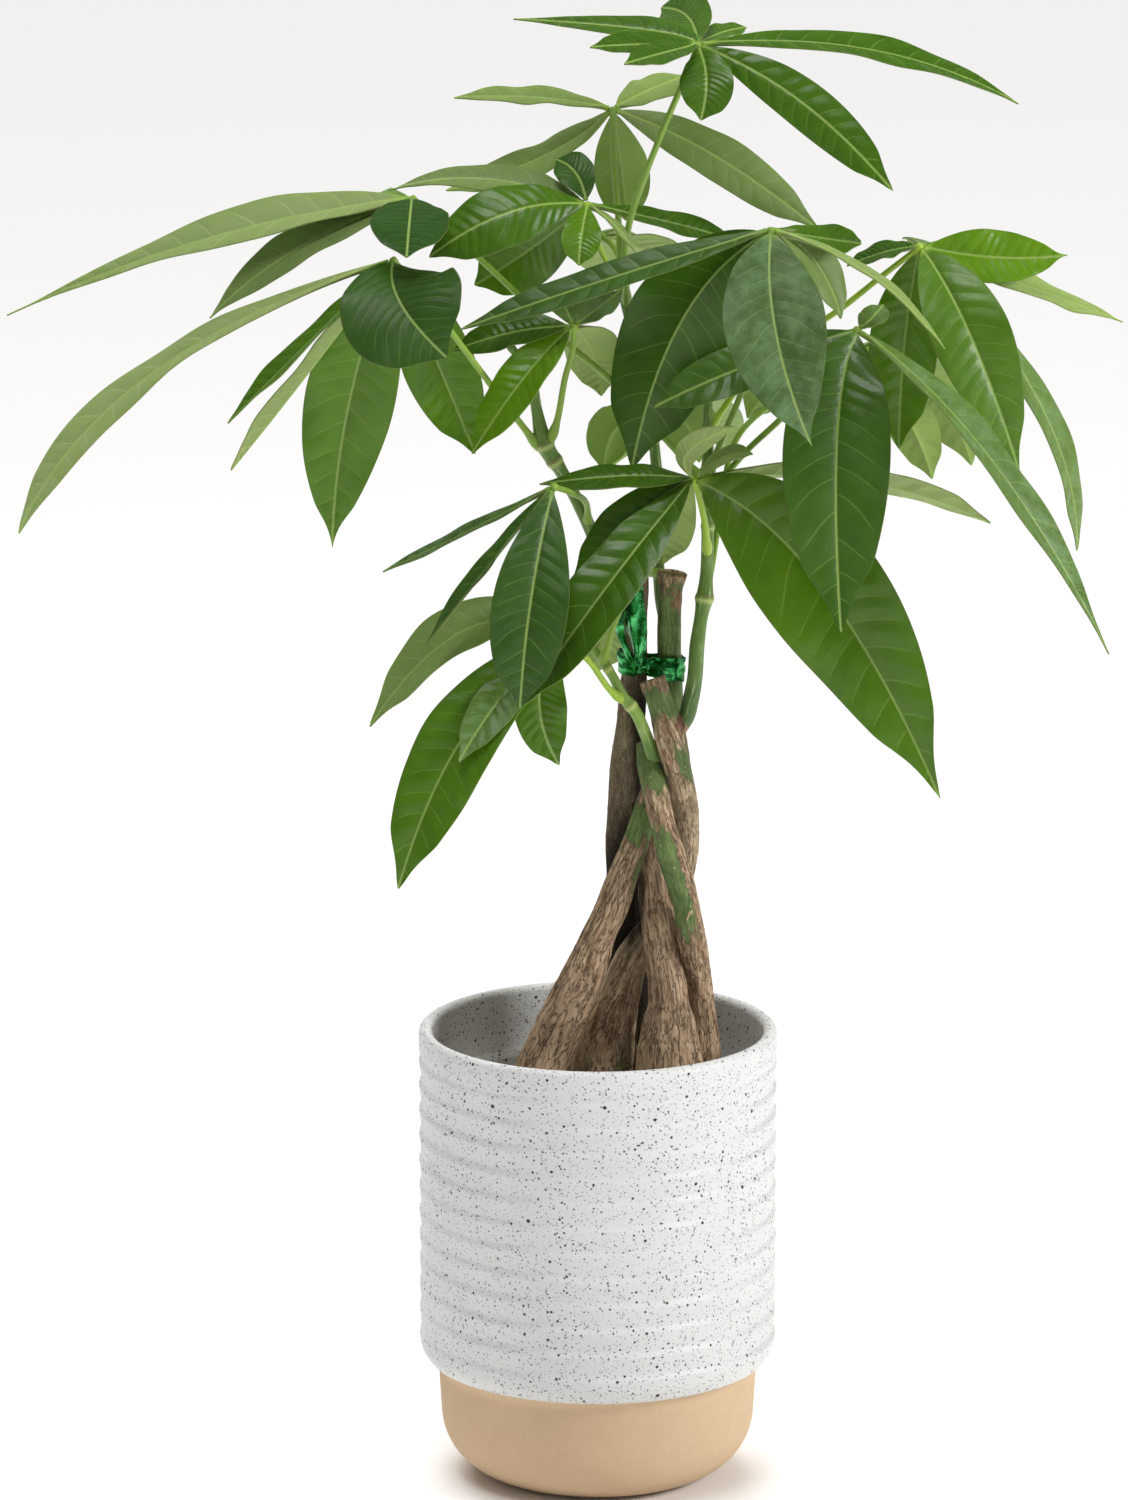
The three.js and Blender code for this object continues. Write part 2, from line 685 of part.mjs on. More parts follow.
function pot() {
  const outline = [new THREE.Vector2(0, 0)];
  outline.push(...arc(FOOT_RADIUS, FOOT_FILLET, FOOT_FILLET, -90, -8, 5));
  outline.push(new THREE.Vector2(BASE_TOP_RADIUS, BASE_HEIGHT));
  const valley = POT_RADIUS - RIDGE_DEPTH;
  outline.push(...arc(valley - SKIRT_FILLET, BASE_HEIGHT + SKIRT_FILLET, SKIRT_FILLET, -80, -10, 2));
  for (let i = RIDGE_COUNT - 1; i >= 0; i--) {
    const crest = RIDGE_TOP - i * RIDGE_PITCH;
    outline.push(new THREE.Vector2(POT_RADIUS, crest));
    outline.push(new THREE.Vector2(valley, crest + RIDGE_PITCH / 2));
  }
  const rimHeight = POT_HEIGHT - RIM_RADIUS;
  outline.push(...arc(POT_RADIUS - RIM_RADIUS, rimHeight, RIM_RADIUS, 0, 180, 4));
  outline.push(new THREE.Vector2(WALL_INNER_RADIUS, LEDGE_HEIGHT));
  outline.push(new THREE.Vector2(LOWER_INNER_RADIUS, LEDGE_HEIGHT - LEDGE_SLOPE));
  outline.push(new THREE.Vector2(CAVITY_FLOOR_RADIUS + CAVITY_FILLET, BASE_HEIGHT));
  outline.push(...arc(CAVITY_FLOOR_RADIUS, CAVITY_FLOOR + CAVITY_FILLET, CAVITY_FILLET, 0, -90, 3));
  outline.push(new THREE.Vector2(0, CAVITY_FLOOR));
  return turned(outline, POT_SIDES);
}

// Radius of the nursery pot's outside at a height.
function growerRadius(height) {
  const share = (height - CAVITY_FLOOR) / (GROWER_TOP - CAVITY_FLOOR);
  return THREE.MathUtils.lerp(GROWER_RADIUS_FOOT, GROWER_RADIUS_TOP, share);
}

function growerPot() {
  const foot = CAVITY_FLOOR + CLEARANCE;
  const lipFoot = GROWER_TOP - GROWER_LIP_HEIGHT;
  const inner = (height) => growerRadius(height) - GROWER_WALL;
  return turned(
    [
      new THREE.Vector2(0, foot),
      new THREE.Vector2(growerRadius(foot), foot),
      new THREE.Vector2(growerRadius(lipFoot), lipFoot),
      new THREE.Vector2(growerRadius(lipFoot) + GROWER_LIP, lipFoot),
      new THREE.Vector2(growerRadius(GROWER_TOP) + GROWER_LIP, GROWER_TOP),
      new THREE.Vector2(inner(GROWER_TOP), GROWER_TOP),
      new THREE.Vector2(inner(foot + GROWER_WALL), foot + GROWER_WALL),
      new THREE.Vector2(0, foot + GROWER_WALL),
    ],
    GROWER_SIDES,
  );
}

function soil() {
  const foot = CAVITY_FLOOR + GROWER_WALL + 2 * CLEARANCE;
  // The pot's flat sides come closer to the axis than its corners do, by that share.
  const flats = Math.cos(Math.PI / GROWER_SIDES);
  const radius = (height) => (growerRadius(height) - GROWER_WALL) * flats - CLEARANCE;
  const crown = SOIL_TOP + SOIL_CROWN;
  const profile = [
    new THREE.Vector2(0, foot),
    new THREE.Vector2(radius(foot), foot),
    new THREE.Vector2(radius(SOIL_TOP), SOIL_TOP),
    new THREE.Vector2(0, crown),
  ];
  let solid = solidFromGeometry(turned(profile, GROWER_SIDES));
  for (const line of Object.values(STEMS)) solid = solid.subtract(stem(line, CLEARANCE));
  return solid;
}

// The ribbon round the tops of two stems: a flat band, a knot in front of it and two tails that stand up.
const TIE_STEMS = [
  [12.6, 5, 4.6],
  [25.9, 6, 4.4],
]; // x, y, radius
const TIE_BOTTOM = 295.5; // half way between the stems
const TIE_TOP = 304;
const TIE_THICKNESS = 1.4;
const TIE_DROP = 0.14; // the band comes down to the right by that share
const KNOT = [[16, 300.5, -2.5], 3];
const TAILS = [
  [[13.5, 318, -5], [13, 337, -3], 4, [0.2, -1, 0], 0.1, 0.5],
  [[9.5, 317, -5.5], [5.5, 328, -4], 3, [-0.3, -1, 0.2], 0.1, 0.6],
];

function tie() {
  const loop = (offset) => {
    const [[leftX, leftY, leftRadius], [rightX, rightY, rightRadius]] = TIE_STEMS;
    const path = new THREE.Path();
    path.absarc(rightX, rightY, rightRadius + offset, -Math.PI / 2, Math.PI / 2, false);
    path.absarc(leftX, leftY, leftRadius + offset, Math.PI / 2, (3 * Math.PI) / 2, false);
    return path.getPoints(5);
  };
  const outline = new THREE.Shape(loop(CLEARANCE + TIE_THICKNESS));
  outline.holes.push(new THREE.Path(loop(CLEARANCE)));
  const band = new THREE.ExtrudeGeometry(outline, { depth: TIE_TOP - TIE_BOTTOM, bevelEnabled: false });
  const middle = (TIE_STEMS[0][0] + TIE_STEMS[1][0]) / 2;
  const slant = new THREE.Matrix4().makeShear(0, -TIE_DROP, 0, 0, 0, 0);
  band.applyMatrix4(slant).translate(0, 0, TIE_BOTTOM + TIE_DROP * middle);
  const [knotPlace, knotRadius] = KNOT;
  const centre = seen(knotPlace);
  const knot = new THREE.IcosahedronGeometry(knotRadius);
  knot.translate(centre.x, centre.y, centre.z);
  let solid = solidFromGeometry(band).add(solidFromGeometry(knot));
  for (const row of TAILS) solid = solid.add(leaflet(centre, row));
  for (const line of Object.values(STEMS)) solid = solid.subtract(stem(line, CLEARANCE));
  return solid;
}

// --- The object --------------------------------------------------------------------------------

const group = new THREE.Group();

function addPiece(name, geometry, color, roughness = 0.6, metalness = 0) {
  const material = new THREE.MeshStandardMaterial({ color, roughness, metalness });
  const mesh = new THREE.Mesh(geometry, material);
  mesh.name = name;
  group.add(mesh);
}

addPiece("pot", pot(), COLOURS.glaze, 0.4);
addPiece("grower_pot", growerPot(), COLOURS.plastic, 0.5);
addPiece("soil", geometryOf(soil()), COLOURS.soil, 0.95);

const GREEN_STEMS = ["stem_crossing", "stem_back_to_right"];
for (const [name, line] of Object.entries(STEMS)) {
  const color = GREEN_STEMS.includes(name) ? COLOURS.greenBark : COLOURS.bark;
  addPiece(name, geometryOf(stem(line)), color, 0.85);
}

for (const [name, { on, line }] of Object.entries(SHOOTS)) {
  const solid = shoot(line).subtract(stem(STEMS[on], CLEARANCE));
  addPiece(name, geometryOf(solid), COLOURS.shoot, 0.6);
}

addPiece("tie", geometryOf(tie()), COLOURS.ribbon, 0.25, 0.7);

for (const [name, row] of Object.entries(LEAVES)) {
  const color = name === "leaf_young" ? COLOURS.youngLeaf : COLOURS.leaf;
  addPiece(name, geometryOf(leaf(row)), color, 0.45);
}

export default group;
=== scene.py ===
import math

import bpy
import numpy as np
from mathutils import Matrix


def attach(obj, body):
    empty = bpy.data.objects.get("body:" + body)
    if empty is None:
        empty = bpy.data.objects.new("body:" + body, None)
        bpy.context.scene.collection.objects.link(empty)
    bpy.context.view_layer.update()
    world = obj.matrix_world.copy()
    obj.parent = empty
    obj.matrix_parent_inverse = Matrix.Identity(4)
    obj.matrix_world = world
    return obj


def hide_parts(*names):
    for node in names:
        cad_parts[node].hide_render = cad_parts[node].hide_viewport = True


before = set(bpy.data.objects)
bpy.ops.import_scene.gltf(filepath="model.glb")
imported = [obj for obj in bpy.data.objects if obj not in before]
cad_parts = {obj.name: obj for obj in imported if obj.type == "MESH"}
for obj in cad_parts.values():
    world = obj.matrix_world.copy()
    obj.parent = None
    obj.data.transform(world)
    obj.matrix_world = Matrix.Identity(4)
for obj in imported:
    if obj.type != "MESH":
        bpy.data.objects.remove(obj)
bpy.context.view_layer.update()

# A potted money tree: a braided trunk of five stems in a nursery pot, inside a speckled ceramic planter.
# Driving sizes are in millimetres, and MM turns them into Blender's metres.

MM = 0.001

EYE = np.array([0.0, -2894.0, 959.0])  # the camera's place
CAMERA_PITCH = 13.4  # degrees below level
CAMERA_YAW = 0.2427  # degrees to the left, because the plant stands right of the middle
CAMERA_LENS = 198.7
CAMERA_SENSOR = 36.0
PHOTO_MIDDLE = (564.0, 750.0)  # in the photograph's pixels, from its left and its top
FOCAL_LENGTH = 8280.0  # about the same lens, in the photograph's pixels
PIXELS_PER_MM = 2.76  # at the plant
LIMB_SPACING = 0.5  # stems, shoots, patches and the ribbon's tails are placed to the nearest half mm
LEAF_SPACING = 1.0  # leaves are placed to the nearest mm

POT_RADIUS = 65.0
POT_HEIGHT = 167.0
FOOT_RADIUS = 33.5
FOOT_FILLET = 23.5
BASE_TOP_RADIUS = 58.2
BASE_HEIGHT = 42.5
SKIRT_FILLET = 6.5
RIDGE_COUNT = 12
RIDGE_TOP = 154.5
RIDGE_PITCH = 9.35
RIDGE_STEP = 1.15  # how far each throwing ridge stands out
RIDGE_LEDGE = 2.6  # height over which it steps out
RIM_RADIUS = 2.5
WALL_INNER_RADIUS = 60.0
LEDGE_HEIGHT = 144.0
LEDGE_SLOPE = 2.0
LOWER_INNER_RADIUS = 57.0
CAVITY_FLOOR = 6.0
CAVITY_FLOOR_RADIUS = 40.0
CAVITY_FILLET = 12.0

GROWER_TOP = 136.0
GROWER_RADIUS_TOP = 51.0
GROWER_RADIUS_FOOT = 38.0
GROWER_WALL = 1.2
GROWER_LIP = 2.0
GROWER_LIP_HEIGHT = 6.0
CLEARANCE = 0.3

SOIL_TOP = 130.0
SOIL_CROWN = 2.5
ROOT_DEPTH = 24.0
CHIP_COUNT = 260  # chips of bark strewn on the soil
CHIP_REACH = 46.0  # how far from the axis they lie at most
CHIP_SIDES = 6
CHIP_HALF_THICKNESS = 0.45
CHIP_STATIONS = np.array([-1.0, -0.6, 0.1, 0.7, 1.0])[:, None]  # along a chip, in half lengths
CHIP_GIRTHS = np.array([0.35, 0.9, 1.0, 0.8, 0.3])[:, None]  # its half width and thickness there, as shares

PLANTER_SIDES = 256
NURSERY_POT_SIDES = 128
SOIL_SIDES = 240
STEM_ROWS, STEM_COLUMNS = 300, 80
SHOOT_ROWS, SHOOT_COLUMNS = 170, 32
STALK_ROWS, STALK_COLUMNS = 80, 16

BASE_SHAPE = 0.95  # how a leaflet widens from its base
BLADE_CURL = 0.18  # how far its edge curls down, in half widths
LEAFLET_START = 1.6
BLADE_LEAST_HALF_WIDTH = 0.8
STALK_RADIUS = 1.0
VEIN_COUNT = 12.5  # side veins on each side of a leaflet
VEIN_SLANT = 0.6  # a side vein goes this far forward for each millimetre outwards
VEIN_OFFSET = 0.45  # the veins of the right half are this part of a spacing out of step
QUILT_DEPTH = 0.04  # how far the blade bulges between two side veins, in vein spacings

# Places are given as they show in the photograph: a column and a row in pixels, from its left and its top,
# and then the depth, which is how far the place lies behind the upright plane through the pot's axis, in mm.

# The stems from the soil up: column, row, depth and radius.
STEMS = {
    "stem_left_front": [
        (529, 1100, -14, 8.8), (545, 1057, -12, 8.6), (555, 1036, -11, 8.6), (566, 1012, -10, 8.6),
        (578, 985, -8, 7.8), (589, 960, -6, 6.9), (598, 938, -5, 6.1), (609, 915, -5, 5.8),
        (620, 885, -4, 5.5), (636, 842, -2, 4.8), (648, 805, 0, 4.5), (664, 759, 8, 4.3), (672, 715, 8, 4),
        (671, 679, 7, 4.1), (670, 640, 6, 4.2), (670, 605, 6, 4.3), (671, 585, 6, 4.6), (672, 573, 6, 5.4),
    ],
    "stem_middle_front": [
        (670, 1100, -16, 13), (668, 1060, -15, 12.2), (668, 1041, -13, 11), (668, 1022, -11, 9.4),
        (669, 1003, -9, 7.2), (667, 985, -8, 6.9), (663, 960, -5, 6.2), (660, 940, -3, 6.1),
        (658, 920, -1, 6), (654, 900, 2, 5.4), (652, 880, 3, 5.1), (651, 862, 5, 5.1), (651, 822, 10, 4.4),
        (651, 800, 11, 4),
    ],
    "stem_crossing": [
        (706, 1100, 4, 6.4), (705, 1057, 2, 6), (703, 1020, 3, 5), (698, 978, 3, 5.1), (690, 935, -8, 5),
        (685, 900, -11, 4.6), (680, 880, -12, 5), (673, 858, -13, 5.2), (663, 827, -12, 4.4),
        (655, 790, -9, 4.6), (648, 760, -3, 4.2), (645, 742, -1, 3.5),
    ],
    "stem_back_to_right": [
        (602, 1100, 8, 12.5), (600, 1057, 7, 12), (616, 1005, 8, 8.4), (633, 958, 9, 6.2),
        (655, 925, 11, 5.2), (675, 890, 10, 4.8), (686, 850, 5, 4.7), (686, 815, 2, 4.8), (679, 776, -5, 5),
        (671, 738, -9, 5.6), (664, 712, -8, 5), (657, 692, -8, 4.6), (652, 680, -7, 4.5),
    ],
    "stem_left_back": [
        (652, 1100, 28, 8.5), (645, 1057, 28, 8.5), (634, 1000, 28, 8.4), (627, 950, 27, 8.1),
        (626, 915, 22, 7), (624, 880, 16, 6.1), (621, 842, 11, 5.5), (625, 800, 10, 5.7),
        (628, 759, 8, 5.7), (631, 709, 6, 4.9), (634, 670, 5, 4.5), (635, 610, 5, 4.5), (637, 590, 5, 4),
        (642, 571, 5, 2.4),
    ],
}

# The shoots, from inside the stem that each one grows on: column, row, depth and radius.
SHOOTS = {
    "shoot_right": [
        (679, 727, -5, 3.2), (686, 716, -4, 3.1), (690, 702, -4, 3), (694, 680, -3, 2.8),
        (698, 645, -2, 2.7), (702, 615, -1, 2.5), (705, 598, 0, 3), (706, 580, 1, 2.4), (707, 540, 1, 2.2),
        (708, 487, 2, 2.2), (708, 440, 3, 2), (708, 400, 4, 1.6),
    ],
    "shoot_middle": [
        (670, 646, 6, 2.6), (666, 628, 13, 2.4), (661, 600, 15, 2.2), (659, 540, 16, 2), (657, 480, 16, 2),
        (648, 400, 16, 1.8), (632, 330, 15, 1.8), (624, 296, 15, 1.8), (621, 268, 15, 1.7),
    ],
    "shoot_left": [
        (634, 640, 5, 2.6), (622, 612, 1, 2.4), (603, 560, -1, 2.4), (585, 516, -3, 2.4),
        (560, 470, -4, 2.5), (545, 445, -5, 3.1), (537, 410, -5, 2), (531, 380, -6, 1.8),
        (520, 358, -7, 1.3), (511, 347, -8, 1.6),
    ],
    "shoot_low": [
        (655, 764, -4, 2.6), (646, 734, -10, 2.2), (633, 708, -13.5, 2.1), (624, 698, -14, 2),
        (612, 676, -13.5, 1.7), (602, 660, -13, 1.6), (590, 643, -13, 1.4), (583, 622, -14, 1.1),
    ],
}

# Nodes on each shoot, as shares of its length, and how old and dark its skin is.
SHOOT_NODES = {
    "shoot_right": [0.4, 0.62, 0.8, 0.92],
    "shoot_middle": [0.2, 0.55, 0.8],
    "shoot_left": [0.3, 0.62, 0.68, 0.9],
    "shoot_low": [0.44, 0.69],
}
SHOOT_AGE = {"shoot_right": 0.8, "shoot_middle": 0.85, "shoot_left": 0.85, "shoot_low": 0.2}

# The leaves: the stalk's places from inside the shoot to the hub, the stalk's tone, then the leaflets. Each
# leaflet has the places of its middle and tip, its half width in millimetres, the way its upper face looks,
# its tone from 0, dark and old, to 1, bright and young, which also paints light through it and shade on it,
# and how pale and grey its upper face is, a painted sheen (below 0, its lower face is that much darker,
# a painted shade). Some go on with how far the edges are folded up and where it is widest.
LEAVES = {
    "leaf_top_right": (
        [(626, 305, 15), (628, 235, -4), (661, 134, -10), (690, 68, -9), (699, 45, -8)],
        0.3,
        ((650, 31, -2), (514, 20, 12), 6.5, (0, -0.5, 1), 0.3, 0.02, 0.1, 0.5),
        ((648, 44, -18), (589, 46, -30), 6, (0, -0.6, 0.8), 0.28, 0),
        ((664, 53, -26), (625, 63, -38), 6, (0, -0.6, 0.8), 0.28, 0),
        ((688, 16, 14), (662, 8, 34), 9, (0, -1, 0.5), 0.3, 0.02),
        ((722, 32, 12), (747, 28, 22), 5, (0, -0.5, 0.9), 0.38, 0.02),
        ((870, 50, 0), (1019, 103, 8), 8.5, (0, -0.4, 1), 0.32, 0, 0.15, 0.5),
        ((800, 101, -20), (894, 191, -32), 8.5, (-0.3, -1, 0.5), 0.36, 0, -0.1),
        ((707, 82, -20), (702, 121, -24), 9.5, (0, -1, 0.3), 0.36, 0),
    ),
    "leaf_top_left": (
        [(622, 282, 15), (619, 220, 22), (614, 132, 24), (612, 108, 24)],
        0.3,
        ((540, 98, 28), (453, 99, 32), 7, (0, -0.3, 1), 0.5, 0.55),
        ((650, 89, 38), (689, 76, 56), 7.5, (0, -0.5, 0.9), 0.5, 0.55, 0),
        ((712, 155, 14), (820, 229, 12), 9, (-0.25, -0.7, 0.65), 0.42, 0.5, 0),
        ((542, 156, 30), (446, 190, 34), 10.5, (-0.1, -0.4, 0.9), 0.45, 0.5, 0),
        ((622, 170, 36), (627, 220, 38), 10, (0, 1, 0.2), 0.8, 0.5),
    ),
    "leaf_young": (
        [(622, 292, 15), (602, 252, 6), (591, 224, 0), (586, 203, -2)],
        0.8,
        ((508, 212, -14), (428, 257, -14), 12, (0.2, -0.75, 0.6), 0.4, 0, -0.2),
        ((581, 236, -16), (579, 267, -20), 7, (0, -1, 0.2), 0.6, 0),
        ((614, 223, -8), (635, 253, -8), 3.5, (0.7, -0.3, 0.6), 0.4, 0.6),
        ((577, 174, 4), (555, 160, 12), 7, (0, -0.8, 0.6), 0.12, 0),
        ((675, 223, 10), (735, 240, 14), 6, (0.1, -0.5, 0.85), 0.36, 0),
        ((530, 250, 24), (474, 286, 30), 12.5, (0, -1, 0.15), 0.85, 0),
        ((482, 179, 10), (388, 190, 12), 8.5, (0, -0.4, 0.9), 0.3, 0.5, 0.16, 0.4),
    ),
    "leaf_upper_left": (
        [
            (706, 482, 2), (674, 449, -4), (607, 378, -3), (569, 345, -2), (519, 295, 6), (462, 243, 6),
            (425, 210, 4), (411, 199, 4),
        ],
        0.4,
        ((212, 237, 0), (8, 314, 2), 11, (-0.1, -0.4, 0.9), 0.35, 0.75, 0.22, 0.36),
        ((295, 252, -6), (211, 319, -8), 9.5, (-0.2, -0.5, 0.85), 0.3, 0.5, 0.15, 0.48),
        ((410, 223, -22), (407, 257, -44), 14, (0, -1, 0.7), 0, 0),
        ((352, 204, 26), (300, 214, 54), 12, (0, -0.2, 1), 0.6, 0.2),
    ),
    "leaf_left": (
        [
            (540, 448, -5), (513, 416, -10), (488, 381, -16), (458, 341, -22), (418, 288, -26),
            (393, 259, -25),
        ],
        0.5,
        ((150, 373, -30), (20, 534, -60), 9.5, (0, -0.2, 1), 0.35, 0.9, 0.1),
        ((305, 346, -40), (229, 423, -48), 7.5, (-0.5, -0.2, 0.85), 0.4, 0, 0.25),
        ((299, 381, -22), (231, 471, -18), 8.5, (-0.6, 0.3, 0.7), 0.4, 0.9, 0.3),
        ((348, 406, -12), (333, 548, -6), 16, (0, -1, 0.1), 0.74, 0, 0.1, 0.46),
        ((432, 352, 2), (474, 455, 6), 13, (0.2, -1, 0.1), 0.88, 0),
        ((402, 304, -44), (447, 358, -52), 22.5, (0, -1, 0.3), 0.1, 0, 0.1),
    ),
    "leaf_middle": (
        [(550, 440, -6), (556, 424, -8), (566, 380, -11), (574, 342, -14), (573, 327, -14)],
        0.5,
        ((515, 331, -14), (453, 352, -10), 8, (0, -0.6, 0.8), 0.25, 0),
        ((524, 377, -26), (473, 455, -32), 9.5, (-0.6, -0.8, 0.3), 0.75, 0),
        ((592, 352, 10), (600, 395, 14), 10, (0, 1, 0.2), 0.65, 0.5),
        ((597, 309, -6), (622, 290, 2), 6, (0, -0.5, 1), 0.3, 0.2),
        ((560, 300, 4), (540, 285, 18), 9, (0, -0.3, 1), 0.3, 0.2),
    ),
    "leaf_centre": (
        [(707, 478, 3), (716, 455, 0), (745, 381, -8), (762, 300, -14), (771, 240, -18), (772, 229, -18)],
        0.3,
        ((615, 277, -24), (461, 330, -20), 7, (0.1, -0.6, 0.8), 0.15, 0.03),
        ((683, 318, -16), (632, 467, -12), 20, (0.3, 1, -0.1), 0.25, -1),
        ((776, 332, -44), (812, 446, -52), 18, (0, -1, 0.25), 0.1, 0.14, 0.16, 0.46),
        ((818, 239, -6), (861, 243, -6), 7, (0, -0.5, 0.8), 0.42, 0, 0.1, 0.66),
        ((869, 275, -26), (946, 349, -30), 4.5, (0.6, -0.2, 0.8), 0.5, 0.7),
        ((816, 264, -6), (841, 319, -6), 8, (0.5, -0.7, 0.5), 0.4, 0.5),
    ),
    "leaf_right": (
        [(708, 428, 3), (716, 419, 5), (746, 379, 7), (849, 303, 10), (880, 276, 10), (921, 246, 8)],
        1,
        ((1000, 258, 12), (1067, 254, 16), 10, (0, -1, 0.5), 0.95, 0, 0.16, 0.45),
        ((1040, 292, 22), (1124, 323, 28), 10, (0, -0.3, 1), 0.6, 0.7, 0.05, 0.4),
        ((971, 336, -16), (1018, 471, -20), 14, (0.1, -1, 0.3), 0.55, 0.03, 0.16, 0.5),
        ((1040, 405, -4), (1078, 550, -6), 9.5, (0.85, -0.4, 0.3), 0.45, 0.25, 0.1, 0.6),
        ((905, 335, 16), (899, 449, 20), 12.5, (-0.2, -1, 0.1), 0.8, 0),
        ((888, 251, 8), (848, 266, 8), 6.5, (0, -0.3, 1), 0.2, 0),
        ((938, 246, 38), (950, 272, 68), 13, (0, -0.1, 1), 0.4, 0.2),
    ),
    "leaf_front_right": (
        [(706, 508, 0), (712, 492, 0), (740, 460, -2), (787, 412, -10), (835, 355, -18), (857, 331, -22)],
        0.4,
        ((836, 438, -40), (840, 632, -60), 19, (0, -1, 0.15), 0.25, 0.02),
        ((988, 456, -54), (1108, 655, -62), 10.5, (0.6, -0.35, 0.7), 0.32, 0.2, 0.2, 0.5),
        ((748, 366, -26), (655, 407, -24), 9, (0, -0.8, 0.5), 0.25, 0.03),
        ((872, 318, -14), (884, 305, -6), 5, (0, -0.5, 0.9), 0.3, 0.2),
    ),
    "leaf_front": (
        [(707, 552, 0), (704, 522, -8), (698, 498, -13), (693, 479, -16)],
        1,
        ((823, 586, -34), (941, 798, -46), 22, (-0.35, -1, 0.4), 0.6, 0, 0.16, 0.5),
        ((613, 580, -44), (522, 704, -53), 12, (-0.3, -0.8, 0.5), 0.3, 0, 0.2),
        ((630, 475, -24), (540, 485, -20), 7, (0, -0.45, 0.9), 0.28, 0, 0),
        ((850, 479, -6), (991, 524, 6), 8.5, (0, 0.6, 0.8), 0.5, 0.3),
        ((688, 450, -27), (735, 427, -34), 4.5, (0.4, 0.8, 0.4), 0.5, 0.7),
        ((726, 458, -20), (752, 453, -22), 4, (0, -0.6, 0.8), 0.5, 0.7),
        ((634, 517, -22), (574, 581, -24), 8.5, (-0.4, -0.8, 0.5), 0.3, 0, 0.3),
        ((668, 521, 3), (664, 563, 11), 10.5, (0, 1, 0.2), 0.7, 0.7, 0.1, 0.62),
    ),
    "leaf_low_middle": (
        [(588, 524, -2), (586, 505, -10), (570, 493, -28), (553, 486, -38)],
        0.4,
        ((532, 600, -58), (521, 707, -62), 13.5, (0, -1, 0.15), 0.12, 0),
        ((494, 559, -46), (421, 652, -50), 6.5, (-0.7, -0.2, 0.7), 0.15, 0.02, 0.3),
        ((470, 530, -32), (382, 571, -28), 5, (-0.3, -0.2, 1), 0.25, 0.1),
    ),
    "leaf_low_left": (
        [(624, 701, -14), (612, 693, -18), (588, 660, -26), (570, 645, -30), (561, 638, -32)],
        0.9,
        ((466, 630, -32), (369, 728, -28), 11, (-0.3, -0.6, 0.7), 0.45, 0.5, 0.25),
        ((465, 735, -48), (398, 889, -54), 14, (-0.3, -1, 0.3), 0.56, 0),
        ((505, 692, -44), (460, 762, -57), 8, (-0.2, -0.9, 0.4), 0.4, 0.1),
        ((539, 700, -36), (558, 765, -38), 9.5, (0.1, -1, 0.2), 0.5, 0),
    ),
    "leaf_low_right": (
        [(602, 661, -13), (607, 650, -16), (613, 629, -17), (623, 601, -16), (634, 568, -12)],
        0.5,
        ((612, 556, -8), (590, 570, -4), 8, (0, 1, 0.2), 0.65, 0.3),
        ((634, 546, -9), (628, 524, -6), 6, (0, 1, 0.2), 0.65, 0.3),
    ),
    "leaf_back_right": (
        [
            (705, 600, 0), (711, 574, 5), (716, 540, 8), (722, 500, 11), (736, 440, 18), (800, 385, 34),
            (858, 348, 44),
        ],
        0.4,
        ((905, 412, 48), (933, 480, 48), 9, (0, 1, 0.3), 0.75, 0.2),
        ((930, 385, 60), (973, 466, 64), 13, (0.2, 1, 0.3), 0.75, 0.2),
        ((868, 352, 78), (884, 402, 108), 14, (0, 0.6, 1), 0.75, 0.2),
        ((812, 348, 74), (770, 388, 98), 14, (0, 0.6, 1), 0.75, 0.2),
        ((785, 380, 32), (748, 418, 28), 8, (0, 1, 0.3), 0.75, 0.2),
    ),
    "leaf_back_middle": (
        [(657, 484, 16), (656, 456, 28), (650, 428, 36)],
        0.4,
        ((616, 430, 38), (603, 474, 38), 9, (0, 1, 0.2), 0.85, 0.2),
        ((682, 420, 42), (700, 462, 46), 11, (0, 1, 0.2), 0.85, 0.2),
        ((636, 420, 70), (608, 470, 98), 15, (0, 0.5, 1), 0.85, 0.2),
        ((690, 412, 66), (728, 452, 96), 15, (0, 0.5, 1), 0.85, 0.2),
    ),
    "leaf_back_low": (
        [(661, 572, 13), (640, 575, 22), (606, 588, 28), (592, 598, 30)],
        0.6,
        ((601, 632, 26), (596, 673, 26), 10.5, (0, 1, 0.2), 0.65, 0.2),
        ((560, 600, 52), (528, 648, 72), 14, (-0.2, 0.6, 1), 0.65, 0.2),
        ((606, 604, 62), (600, 664, 92), 15, (0, 0.6, 1), 0.65, 0.2),
    ),
    "leaf_back_upper": (
        [(624, 296, 15), (622, 262, 34), (606, 240, 44), (598, 235, 46)],
        0.4,
        ((550, 236, 64), (505, 265, 84), 13, (0, 0.3, 1), 0.65, 0.2),
        ((600, 240, 74), (606, 284, 100), 14, (0, 0.5, 1), 0.65, 0.2),
        ((650, 252, 62), (694, 292, 84), 13, (0, 0.3, 1), 0.65, 0.2),
    ),
}
